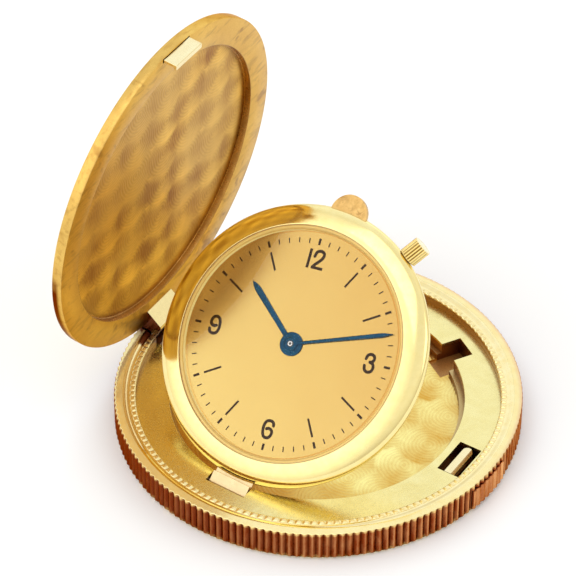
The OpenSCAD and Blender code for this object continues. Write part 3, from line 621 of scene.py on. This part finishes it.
SLOT_MAT = {
    "gold_coin": GOLD_RIM, "gold_cradle": GOLD_CRADLE, "satin_gold": GOLD_PLATE, "perlage_gold": PERL_FLOOR, "steel_pin": STEEL, "copper_edge": REED, "polished_gold": GOLD_BRIGHT,
    "spring_steel": SPRING, "gold_lid": LID_SATIN, "gold_case": GOLD_BEZEL, "crystal_glass": CRYSTAL, "gasket_dark": GASKET, "dial_gilt": DIAL, "dial_ink": INK, "blued_steel": BLUE,
    "movement_plate": PLATE, "brass_wheel": BRASS, "steel_wheel": STEEL, "ruby_jewel": RUBY,
}
NODE_MAT = {"thumb_tab": GOLD_TAB, "crown": GOLD_CROWN, "rehaut_ring": REHAUT, "head_hinge_lug": LUG, "lid_hinge_lug": LID_LUG}
for sp in frame["record"]["subparts"]:
    ob = NODES[sp["node"]]
    ob.data.materials.clear()
    ob.data.materials.append(NODE_MAT.get(sp["node"], SLOT_MAT[sp["material_slot"]]))

# ---------------------------------------------------------------- coin half
NR, PER = 174, 8
NA = NR * PER
ND = 157


def reed_shape(crest, valley, worn_and_lit=0.0):
    """One ring of the reeded edge; worn flattens it on the side away from the head's hinge."""
    prof = (1.0, 0.74, 0.44, 0.15, 0.0, 0.15, 0.44, 0.74)
    return [crest - (crest - valley) * prof[i % PER] * (1 - worn_and_lit * max(0.0, min(1.0, 2.2 * math.sin(2 * math.pi * i / NA) - 0.1))) for i in range(NA)]


def bead_row(n, count, r, r0, half, h, base, sign=1):
    """One circle of samples through a ring of small beads."""
    q = 1 - ((r - r0) / half) ** 2
    out = []
    for i in range(n):
        t = ((i / n * count) % 1.0 - 0.5) / 0.46
        out.append(base + sign * h * math.sqrt(max(0.0, q - t * t)))
    return out


def flute_row(n, count, h, base, sign=1):
    """One circle of samples through a sunburst of rounded flutes."""
    return [base + sign * h * max(0.0, math.sin(math.pi * ((i / n * count) % 1.0))) ** 0.8 for i in range(n)]


def ornament(cx, cy, n, beads, flutes, base, sign, mat, r0):
    """Generic relief from the border inwards: beads, a fine ring, a sunburst and a stepped boss."""
    out = [(cx, cy, r0 + 0.32, base, mat)]
    for k in (0.27, 0.22, 0.12, 0.0, -0.12, -0.22, -0.27):
        out.append((cx, cy, r0 + k, bead_row(n, beads, r0 + k, r0, 0.28, 0.055, base, sign), mat))
    out += [(cx, cy, r0 - 0.32, base, mat), (cx, cy, r0 - 0.75, base, mat), (cx, cy, r0 - 0.80, base + sign * 0.03, mat), (cx, cy, r0 - 0.92, base + sign * 0.03, mat), (cx, cy, r0 - 0.97, base, mat), (cx, cy, r0 - 1.35, base, mat)]
    for r, h in ((r0 - 1.40, 0.012), (r0 - 1.55, 0.03), (r0 - 1.9, 0.045), (r0 - 3.2, 0.05), (r0 - 5.2, 0.05), (r0 - 7.2, 0.045), (r0 - 9.0, 0.035), (r0 - 9.5, 0.022), (r0 - 9.65, 0.008)):
        out.append((cx, cy, r, flute_row(n, flutes, h, base, sign), mat))
    out += [(cx, cy, r0 - 9.7, base, mat), (cx, cy, 2.9, base, mat), (cx, cy, 2.82, base + sign * 0.03, mat), (cx, cy, 2.6, base + sign * 0.034, mat), (cx, cy, 2.45, base + sign * 0.015, mat), (cx, cy, 2.2, base + sign * 0.02, mat), (cx, cy, 1.6, base + sign * 0.045, mat), (cx, cy, 0.8, base + sign * 0.058, mat), (cx, cy, 0, base + sign * 0.06, mat)]
    return out


LAND = m_satin("coin_land", (0.93, 0.74, 0.34), (0.87, 0.65, 0.27), 0.27, 6, 0.003, cavity=(0.40, 0.20, 0.05), dist=0.3, span=(0.45, 0.95))
rows = ornament(0, 0, NA, 87, 58, 0.07, -1, 3, 14.1)[::-1]
rows += [(0, 0, 14.62, 0.07, 3), (0, 0, 14.72, 0.045, 3), (0, 0, 14.84, 0.012, 3), (0, 0, 15.0, 0.0, 0), (0, 0, 15.8, 0.0, 0), (0, 0, 16.3, 0.0, 0), (0, 0, 16.6, 0.02, 0), (0, 0, 16.78, 0.07, 0), (0, 0, reed_shape(16.90, 16.80), 0.14, 1), (0, 0, reed_shape(16.98, 16.81), 0.22, 1)]
rows += [(0, 0, reed_shape(17.0, 16.83), z, 1) for z in (0.30, 0.9, 1.5, 2.1, 2.6)]
rows += [(0, 0, reed_shape(17.0, 16.835, 0.7), 2.68, 1), (0, 0, reed_shape(16.985, 16.845, 0.8), 2.715, 1), (0, 0, reed_shape(16.945, 16.855, 0.8), 2.742, 1), (0, 0, reed_shape(16.90, 16.85, 0.8), 2.757, 0)]
rows += [(0, 0, r, z, 0) for r, z in ((16.78, 2.768), (16.62, 2.78), (16.48, 2.79), (16.35, 2.8), (16.27, 2.797))]
rows += [(0, 0, r, z, 4) for r, z in ((16.20, 2.785), (16.10, 2.757), (16.0, 2.72), (15.91, 2.685), (15.84, 2.662), (15.78, 2.65), (15.71, 2.648), (15.66, 2.648))]
rows += [(0, 0, 15.60, 2.62, 0), (0, 0, 15.27, 2.60, 0), (0, 0, 15.22, 2.58, 0)]
rows += [(0, 0, 15.2, 2.54, 2), (0, 0, 15.2, 2.2, 2), (0, 0, 15.2, 1.85, 2), (0, 0, 15.2, 0.2, 2), (0, 0, 0, 0.2, 2)]
v, f, ix = rings(rows, NA)
# painted shade: the wall down the bore is coloured dark brown for the shade it lies in
WALL = m_plain("rim_wall", (0.46, 0.23, 0.065), 0.3, 0.6, (0.38, 0.18, 0.05), 6.0, 0.002)
# painted shade: the faces of the cuts are coloured dark brown for the shade inside them
POCKET = m_satin("pocket_walls", (0.30, 0.11, 0.045), (0.22, 0.075, 0.03), 0.4, 8, 0.004, cavity=(0.06, 0.015, 0.008), dist=1.5, span=(0.2, 0.8))
coin = put("coin_shell", v, f, [GOLD_RIM, REED, WALL, LAND, SLOPE], body="coin_base", slot="gold_coin", index=ix, replaces=["coin_body"])
push_M = Matrix.Rotation(math.radians(-2.4), 4, "Z")
cuts = [
    cutter("c1", *box_vf(15.95, 18, -2.23, 2.23, 0.3, 2.33), push_M),
    cutter("c2", *box_vf(15, 18, -2.11, -1.34, 1.0, 1.6), push_M),
    cutter("c3", *box_vf(-18, -15, -1.87, 1.87, 1.28, 4)),
]
for c in cuts:
    c.data.materials.append(POCKET)
boolean(coin, cuts, transfer=True)
sharp(coin, 50)


def dent(base, top):
    out = []
    for i in range(ND * 8):
        t = (i % 8) / 8
        out.append(base + (top - base) * (0.0, 0.62, 0.95, 1.0, 1.0, 0.97, 0.85, 0.42)[i % 8])
    return out


n = ND * 8
rows = [(0, 0, 15.68, 2.5), (0, 0, 15.68, dent(2.652, 2.660)), (0, 0, 15.64, dent(2.636, 2.688)), (0, 0, 15.57, dent(2.630, 2.704)), (0, 0, 15.45, dent(2.628, 2.708)), (0, 0, 15.33, dent(2.628, 2.702)), (0, 0, 15.25, dent(2.616, 2.678)), (0, 0, 15.207, dent(2.585, 2.63)), (0, 0, 15.205, 2.5)]
v, f, ix = rings(rows, n)
f += [((len(rows) - 1) * n + i, i, (i + 1) % n, (len(rows) - 1) * n + (i + 1) % n) for i in range(n)]
teeth = put("rim_blocks", v, f, [DENTIL], body="coin_base", slot="gold_coin")
sharp(teeth, 45)

# push piece: the CAD node is looked up and left as it is
ob = NODES["push_piece"]

# -------------------------------------------------------------- cover plate
RX, RY, RR = -0.23, 0.18, 12.32
v, f, ix = rings([(0, 0, 15.198, 1.9), (RX, RY, RR, 1.9), (RX, RY, RR, 1.68), (0, 0, 15.198, 1.68), (0, 0, 15.198, 1.9)], 384)
# close the ring of quads on itself
k = 384
v = v[: 4 * k]
f = [tuple(i if i < 4 * k else i - 4 * k for i in q) for q in f]
plate = put("plate_ring", v, f, [GOLD_PLATE], body="coin_base", slot="satin_gold", replaces=["cover_plate"])
rec = REC_M @ Matrix.Rotation(math.radians(60.6 - 0.9), 4, "Z")
boolean(plate, [
    cutter("c1", *box_vf(11, 14.02, -1.12, 1.12, 0, 4), rec),
    cutter("c2", *cyl_vf(0, 11.5, 2.05, 0.5, 4), REC_M @ Matrix.Rotation(math.radians(1.6), 4, "Z")),
    cutter("c3", *box_vf(-1.9, 1.85, -13.42, -11, 0, 4), REC_M),
    cutter("c4", *box_vf(-17, -13.29, -1.87, 1.87, 0, 4)),
    cutter("c5", *box_vf(12.7, 14.7, -1.79, 1.9, 0, 4)),
])
bevel(plate, 0.035, 2, 50)
sharp(plate, 40)

# ---------------------------------------------------------------------- lid
LR, LZ, LT, LRR = 14.89, 1.92, 0.95, 12.44
CX, CY = 0.09, -0.15
n = 720
rows = [(CX, CY, 0, LZ + 0.6, 1)] + [(CX, CY, r, LZ + 0.6, 1) for r in (6, 12.3)] + [(CX, CY, 12.41, LZ + 0.585, 2), (CX, CY, LRR, LZ + 0.55, 2), (CX, CY, LRR, LZ + 0.04, 2), (CX, CY, LRR + 0.015, LZ + 0.012, 2), (CX, CY, LRR + 0.05, LZ, 2),
        (0.03, -0.05, 13.6, LZ, 0), (0, 0, LR - 0.07, LZ, 0), (0, 0, LR - 0.02, LZ + 0.02, 3), (0, 0, LR, LZ + 0.07, 3), (0, 0, LR, LZ + 0.3, 3), (0, 0, LR, LZ + LT - 0.14, 3), (0, 0, LR - 0.03, LZ + LT - 0.05, 3), (0, 0, LR - 0.1, LZ + LT - 0.01, 4),
        (0, 0, LR - 0.2, LZ + LT, 4), (0, 0, LR - 0.5, LZ + LT, 4), (0, 0, LR - 0.62, LZ + LT - 0.03, 4), (0, 0, LR - 0.72, LZ + LT - 0.08, 4)] + ornament(0, 0, n, 90, 45, LZ + LT - 0.08, 1, 4, 13.55)
v, f, ix = rings(rows, n)
LID_OUT = m_satin("lid_outer", (0.93, 0.74, 0.34), (0.87, 0.65, 0.27), 0.27, 6, 0.003, cavity=(0.40, 0.20, 0.05), dist=0.3, span=(0.45, 0.95))
# painted shade: the recess wall is coloured dark brown for the shade it lies in
LID_WALL = m_polished("lid_wall", (0.50, 0.27, 0.07), (0.42, 0.21, 0.05), 0.25)
lid = put("lid_plate", v, f, [LID_SATIN, PERL_LID, LID_WALL, LID_EDGE, LID_OUT], M=LID_M, body="lid", slot="gold_lid", index=ix, replaces=["lid_disc"])
slot_cut = cutter("c6", *box_vf(14.30, 14.745, -1.86, 1.86, 1.5, 2.10), LID_M)
slot_cut.data.materials.append(POCKET)
boolean(lid, [slot_cut], transfer=True)
sharp(lid, 30)
blade = prism("catch_blade", [(14.40, 2.10), (14.67, 2.10), (14.67, 0.72), (14.61, 0.66), (14.22, 0.66), (14.16, 0.72), (14.16, 0.88), (14.40, 0.96)], 0, 3.56, [GOLD_BRIGHT],
              M=LID_M @ Matrix.Rotation(math.radians(90), 4, "X") @ T(0, 0, -1.78), body="lid", slot="polished_gold", replaces=["lid_catch_hook"])
bevel(blade, 0.05, 3, 30)

# ---------------------------------------------------------------- watch case
n = 384
bz = [(10, 1.28), (11.73, 1.28), (11.745, 1.34), (11.75, 1.42), (11.735, 1.52), (11.70, 1.62), (11.64, 1.73), (11.55, 1.84), (11.43, 1.94), (11.28, 2.04), (11.10, 2.13), (10.88, 2.21), (10.62, 2.29), (10.36, 2.35), (10.12, 2.395), (9.95, 2.415), (9.90, 2.42), (9.87, 2.413), (9.86, 2.39),
      (9.86, 2.28), (9.72, 2.28), (9.72, 1.976), (10, 1.976)]
rows = [(0, 0, r, z, 1 if r == 9.72 else 0) for r, z in bz]
v, f, ix = rings(rows, n)
m = len(bz) * n
ix = list(ix) + [0] * n
f += [((len(bz) - 1) * n + i, i, (i + 1) % n, (len(bz) - 1) * n + (i + 1) % n) for i in range(n)]
bez = put("bezel_ring", v, f, [GOLD_BEZEL, REHAUT], M=HEAD_M, body="watch_head", slot="polished_gold", index=ix, replaces=["bezel"])
sharp(bez, 30)
cb = [(0, 0.47), (6, 0.47), (10.7, 0.47), (10.9, 0.478), (11.1, 0.505), (11.28, 0.555), (11.42, 0.64), (11.53, 0.76), (11.60, 0.88), (11.66, 1.03), (11.70, 1.16), (11.725, 1.24), (11.715, 1.27), (11.69, 1.28), (10, 1.28), (10, 0.62), (0, 0.62)]
v, f, ix = rings([(0, 0, r, z) for r, z in cb], n)
back = put("case_dish", v, f, [GOLD_BEZEL], M=HEAD_M, body="watch_head", slot="gold_case", replaces=["case_back"])
sharp(back, 30)

# -------------------------------------------------------------------- crystal
n = 256
v, f, ix = rings([(0, 0, 0, 2.304), (0, 0, 9.816, 2.304), (0, 0, 9.816, 2.415, 3), (0, 0, 9.803, 2.42, 1), (0, 0, 9.50, 2.446, 1), (0, 0, 9.47, 2.4485, 2), (0, 0, 9.42, 2.45, 2), (0, 0, 9.2, 2.45), (0, 0, 0, 2.45)], n)
glass = put("crystal_disc", v, f, [CRYSTAL, CRYSTAL_CHAMFER, CRYSTAL_LINE, CRYSTAL_SIDE], M=HEAD_M, body="watch_head", slot="crystal_glass", index=ix, replaces=["crystal"])
sharp(glass, 20)

# --------------------------------------------------------- dial printing, hands
DZ, TURN, HOUR_A, MIN_A = 1.976, 9.9, 311.7, 72.1


def on_dial(a):
    return HEAD_M @ T(0, 0, DZ) @ Matrix.Rotation(math.radians(TURN - a), 4, "Z")


def smooth(pts, per=7):
    """A smooth curve through the points."""
    q = [pts[0]] + list(pts) + [pts[-1]]
    out = []
    for i in range(1, len(q) - 2):
        p0, p1, p2, p3 = q[i - 1], q[i], q[i + 1], q[i + 2]
        for k in range(per):
            t = k / per
            out.append(tuple(0.5 * (2 * p1[j] + (p2[j] - p0[j]) * t + (2 * p0[j] - 5 * p1[j] + 4 * p2[j] - p3[j]) * t * t + (3 * p1[j] - p0[j] - 3 * p2[j] + p3[j]) * t ** 3) for j in (0, 1)))
    out.append(tuple(pts[-1]))
    return out


def stroke(path, w, z0, z1, inset=0.015, nc=7):
    """A printed stroke with a rounded (nc > 1) or square end."""
    P = [Vector(q) for q in path]
    m = len(P)
    D = [(P[min(i + 1, m - 1)] - P[max(i - 1, 0)]).normalized() for i in range(m)]
    L = [Vector((-d.y, d.x)) for d in D]

    def outline(h):
        a = [P[i] + L[i] * h for i in range(m)]
        a += [P[-1] + (L[-1] * math.cos(k * math.pi / nc) + D[-1] * math.sin(k * math.pi / nc)) * h for k in range(1, nc)]
        a += [P[i] - L[i] * h for i in range(m - 1, -1, -1)]
        a += [P[0] - (L[0] * math.cos(k * math.pi / nc) + D[0] * math.sin(k * math.pi / nc)) * h for k in range(1, nc)]
        return a

    lo, hi = outline(w / 2), outline(w / 2 - inset)
    c = len(lo)
    v = [(q.x, q.y, z0) for q in lo] + [(q.x, q.y, z1) for q in hi]
    f = [(i, (i + 1) % c, c + (i + 1) % c, c + i) for i in range(c)]
    R = lambda i: m + (nc - 1) + (m - 1 - i)
    for o in (0, c):
        f += [(o + i, o + i + 1, o + R(i + 1), o + R(i)) for i in range(m - 1)]
        if nc > 1:
            f += [tuple(o + i for i in range(m - 1, m + nc)), tuple([o + i for i in range(R(0), c)] + [o])]
    return v, f


def merge(parts, off=(0, 0)):
    v, f = [], []
    for a, b in parts:
        k = len(v)
        v += [(x + off[0], y + off[1], z) for x, y, z in a]
        f += [tuple(i + k for i in q) for q in b]
    return v, f


W, Z0, Z1 = 0.265, -0.002, 0.014
SIX = [(0.42, 0.33), (0.33, 0.57), (0.055, 0.68), (-0.25, 0.58), (-0.39, 0.30), (-0.42, -0.02), (-0.37, -0.37), (-0.24, -0.64), (0.0, -0.75), (0.28, -0.64), (0.41, -0.30), (0.31, -0.04), (0.06, 0.04), (-0.12, -0.02)]
g12 = merge([stroke([(-0.53, -0.76), (-0.53, 0.85)], 0.25, Z0, Z1, nc=1),
             stroke(smooth([(-0.09, 0.28), (0.02, 0.64), (0.31, 0.79), (0.61, 0.71), (0.71, 0.47), (0.60, 0.17), (0.37, -0.10), (0.10, -0.38), (-0.07, -0.62)]), W, Z0, Z1),
             stroke([(-0.19, -0.635), (0.85, -0.635)], 0.24, Z0, Z1 + 0.0005, nc=1)], (0, 7.13))
g3 = merge([stroke(smooth([(-0.39, 0.33), (-0.29, 0.62), (-0.02, 0.745), (0.24, 0.66), (0.33, 0.42), (0.22, 0.19), (0.0, 0.11)]), W, Z0, Z1),
            stroke(smooth([(0.0, 0.11), (0.28, 0.01), (0.40, -0.28), (0.29, -0.60), (-0.02, -0.72), (-0.29, -0.57), (-0.39, -0.24)]), W, Z0, Z1 + 0.0005)], (7.08, 0))
g6 = merge([stroke(smooth(SIX), W, Z0, Z1)], (0, -7.13))
g9 = merge([stroke(smooth([(-x, -y) for x, y in SIX]), W, Z0, Z1)], (-7.08, 0))
v, f = merge([g12, g3, g6, g9])
put("dial_numerals", v, f, [INK], M=on_dial(0), body="watch_head", slot="dial_ink", smooth=False, replaces=["numerals"])


def hand(name, half, hub_r, bore, z, angle, body, node, lip):
    """A bevelled hand: flat top with sloped sides, and a stepped hub."""
    v, f, prev = [], [], None
    t = 0.05
    for y, h in half:
        b = min(0.075, h * 0.55)
        cur = list(range(len(v), len(v) + 6))
        v += [(-h, y, z + 0.002), (-h, y, z + 0.018), (-h + b, y, z + t - 0.004), (h - b, y, z + t - 0.004), (h, y, z + 0.018), (h, y, z + 0.002)]
        if prev:
            f += [(prev[i], cur[i], cur[(i + 1) % 6], prev[(i + 1) % 6]) for i in range(6)]
        else:
            f.append(tuple(cur))
        prev = cur
    f.append(tuple(prev[::-1]))
    ob = put(name, v, f, [BLUE], M=on_dial(angle), body=body, slot="blued_steel", smooth=False, replaces=[node])
    rr = [(bore, z), (hub_r, z), (hub_r, z + 0.022), (hub_r - 0.05, z + t - 0.006), (hub_r - 0.08, z + t), (lip + 0.05, z + t), (lip + 0.02, z + t - 0.016), (lip - 0.03, z + t - 0.016), (lip - 0.06, z + t), (bore, z + t)]
    hv, hf, _ = rings([(0, 0, r, q) for r, q in rr], 96)
    m = len(rr) * 96
    hf += [((len(rr) - 1) * 96 + i, i, (i + 1) % 96, (len(rr) - 1) * 96 + (i + 1) % 96) for i in range(96)]
    boolean(ob, [cutter("hub", hv, hf, on_dial(angle))], "UNION")
    sharp(ob, 18)
    return ob


hand("hour_hand_blued", [(0.6, 0.205), (1.5, 0.205), (3.0, 0.222), (4.6, 0.248), (5.35, 0.262), (5.65, 0.252), (5.9, 0.215), (6.15, 0.135), (6.33, 0.065), (6.44, 0.015)], 0.99, 0.5, 0.084, HOUR_A, "hour_works", "hour_hand", 0.74)
hand("minute_hand_blued", [(0.35, 0.125), (1.5, 0.118), (3.5, 0.130), (6.0, 0.155), (7.6, 0.172), (8.0, 0.165), (8.35, 0.11), (8.65, 0.05), (8.9, 0.012)], 0.58, 0.22, 0.204, MIN_A, "minute_works", "minute_hand", 0.44)
v, f, ix = rings([(0, 0, 0, 0.256), (0, 0, 0.255, 0.256), (0, 0, 0.27, 0.262), (0, 0, 0.27, 0.288), (0, 0, 0.255, 0.304), (0, 0, 0.225, 0.309), (0, 0, 0.195, 0.309), (0, 0, 0.185, 0.272), (0, 0, 0.135, 0.272), (0, 0, 0.125, 0.305), (0, 0, 0.08, 0.313), (0, 0, 0, 0.314)], 64)
put("hand_cap", v, f, [PIN], M=on_dial(MIN_A), body="minute_works", slot="steel_wheel")

# ---------------------------------------------------------------------- crown
KN = 20
n = KN * 10


def knurl(r, deep):
    return [r - deep * (0.5 - 0.5 * math.cos(2 * math.pi * i / 10)) ** 1.6 for i in range(n)]


CROWN_M = HEAD_M @ Matrix.Rotation(math.radians(60.6), 4, "Z") @ T(11.8, 0, 1.08) @ Matrix.Rotation(math.radians(90), 4, "Y")
cr = [(0, 0, 0, 0.6), (0, 0, 0.29, 0.6), (0, 0, 0.29, -0.035), (0, 0, 0.5, -0.045), (0, 0, 0.79, -0.045), (0, 0, knurl(0.835, 0.05), -0.035), (0, 0, knurl(0.85, 0.10), 0.015)]
cr += [(0, 0, knurl(0.85, 0.115), z) for z in (0.06, 0.5, 1.0, 1.49)]
cr += [(0, 0, knurl(0.85, 0.09), 1.54, 0), (0, 0, knurl(0.84, 0.05), 1.58, 1), (0, 0, 0.795, 1.60, 1), (0, 0, 0.74, 1.612, 1), (0, 0, 0.62, 1.606, 1), (0, 0, 0.58, 1.592, 1), (0, 0, 0.54, 1.592, 1), (0, 0, 0.5, 1.606, 1), (0, 0, 0.25, 1.616, 1), (0, 0, 0, 1.618, 1)]
v, f, ix = rings(cr, n)
crown = put("crown_knurled", v, f, [GOLD_CROWN, CROWN_END], M=CROWN_M, body="crown_and_stem", slot="gold_case", index=ix, replaces=["crown"])
sharp(crown, 40)

for name, wd in (("thumb_tab", 0.035), ("head_hinge_lug", 0.04), ("lid_hinge_lug", 0.03)):
    bevel(NODES[name], wd, 2, 35)

lever = bpy.data.objects.new("catch_bar_milled", NODES["catch_lever"].data.copy())
COLL.objects.link(lever)
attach(lever, "catch_bar")
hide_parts("catch_lever")
wedge = [(13.86, 1.90), (14.30, 1.90), (14.30, 1.47)]
wv = [(x, y, z) for y in (-1.69, 1.8) for x, z in wedge]
boolean(lever, [cutter("w", wv, [(0, 2, 1), (3, 4, 5), (0, 1, 4, 3), (1, 2, 5, 4), (2, 0, 3, 5)])])
bevel(lever, 0.025, 2, 30)

# --------------------------------------------------------------------- floor
me = bpy.data.meshes.new("floor")
me.from_pydata([(-3, -3, 0), (3, -3, 0), (3, 3, 0), (-3, 3, 0)], [], [(0, 1, 2, 3)])
floor = bpy.data.objects.new("floor", me)
COLL.objects.link(floor)
floor.location.z = -0.00003
fm = N("floor_white")
p = fm.new("ShaderNodeBsdfPrincipled")
p.inputs["Base Color"].default_value = (0.97, 0.97, 0.97, 1)
p.inputs["Roughness"].default_value = 0.9
fm.link(p.outputs[0], fm.out.inputs[0])
me.materials.append(fm.m)

# -------------------------------------------------------------------- lights
w = bpy.data.worlds.new("studio")
bpy.context.scene.world = w
w.use_nodes = True
nt = w.node_tree
bg = nt.nodes["Background"]
tc = nt.nodes.new("ShaderNodeTexCoord")
sx = nt.nodes.new("ShaderNodeSeparateXYZ")
nt.links.new(tc.outputs["Generated"], sx.inputs[0])
mr = nt.nodes.new("ShaderNodeMapRange")
mr.inputs[1].default_value, mr.inputs[2].default_value = -1.0, 1.0
nt.links.new(sx.outputs[2], mr.inputs[0])
ramp = nt.nodes.new("ShaderNodeValToRGB")
nt.links.new(mr.outputs[0], ramp.inputs[0])
els = ramp.color_ramp.elements
els[0].position, els[0].color = 0.0, (0.8, 0.8, 0.8, 1)
els[1].position, els[1].color = 1.0, (0.86, 0.86, 0.86, 1)
for pos, c in ((0.50, (0.62, 0.58, 0.52)), (0.56, (0.72, 0.69, 0.64)), (0.66, (0.86, 0.84, 0.80)), (0.80, (0.97, 0.96, 0.94))):
    e = els.new(pos)
    e.color = (*c, 1)
nrm = nt.nodes.new("ShaderNodeVectorMath")
nrm.operation = "NORMALIZE"
nt.links.new(tc.outputs["Generated"], nrm.inputs[0])


def field(col_in, direction, lo, hi, gain):
    """Adds a soft bright field to the studio around one direction."""
    d = nt.nodes.new("ShaderNodeVectorMath")
    d.operation = "DOT_PRODUCT"
    nt.links.new(nrm.outputs[0], d.inputs[0])
    d.inputs[1].default_value = Vector(direction).normalized()
    q = nt.nodes.new("ShaderNodeMapRange")
    q.interpolation_type = "SMOOTHSTEP"
    nt.links.new(d.outputs["Value"], q.inputs[0])
    q.inputs[1].default_value, q.inputs[2].default_value = lo, hi
    a = nt.nodes.new("ShaderNodeMix")
    a.data_type, a.blend_type = "RGBA", "ADD"
    a.clamp_result = False
    nt.links.new(q.outputs[0], a.inputs[0])
    nt.links.new(col_in, a.inputs[6])
    a.inputs[7].default_value = (*gain, 1)
    return a.outputs[2]


sky = field(ramp.outputs[0], (-0.41, -0.61, 0.68), 0.72, 0.97, (0.28, 0.27, 0.25))
sky = field(sky, (-0.50, -0.85, 0.12), 0.45, 0.95, (0.34, 0.34, 0.33))
sky = field(sky, (-0.15, 0.98, 0.10), 0.80, 0.98, (0.26, 0.28, 0.30))
sky = field(sky, (-0.41, 0.63, 0.67), 0.80, 0.98, (0.05, 0.10, 0.19))
nt.links.new(sky, bg.inputs[0])
bg.inputs[1].default_value = 1.05


def area(name, loc, target, sx, sy, radiance, col=(1, 1, 1)):
    li = bpy.data.lights.new(name, "AREA")
    li.energy, li.color = radiance * math.pi * sx * sy, col
    li.shape, li.size, li.size_y = "RECTANGLE", sx, sy
    ob = bpy.data.objects.new(name, li)
    COLL.objects.link(ob)
    ob.location = loc
    ob.rotation_euler = (Vector(target) - Vector(loc)).to_track_quat("-Z", "Y").to_euler()
    return ob


area("key", (-0.02, -0.06, 0.42), (0, 0, 0.005), 0.26, 0.26, 0.7)
area("side", (0.34, 0.10, 0.20), (0, 0, 0.01), 0.20, 0.16, 0.75)

# -------------------------------------------------------------------- camera
cam = bpy.data.cameras.new("camera")
co = bpy.data.objects.new("camera", cam)
COLL.objects.link(co)
right, up, bk = (0.83813, 0.54547, 0.00081), (-0.36298, 0.55662, 0.74727), (0.40716, -0.62661, 0.66452)
loc = (0.11889, -0.18760, 0.21154)
co.matrix_world = Matrix(((right[0], up[0], bk[0], loc[0]), (right[1], up[1], bk[1], loc[1]), (right[2], up[2], bk[2], loc[2]), (0, 0, 0, 1)))
cam.lens, cam.sensor_width, cam.sensor_fit = 228.97, 36.0, "HORIZONTAL"
cam.clip_start, cam.clip_end = 0.01, 20
bpy.context.scene.camera = co
bpy.context.scene.view_settings.view_transform = "Standard"
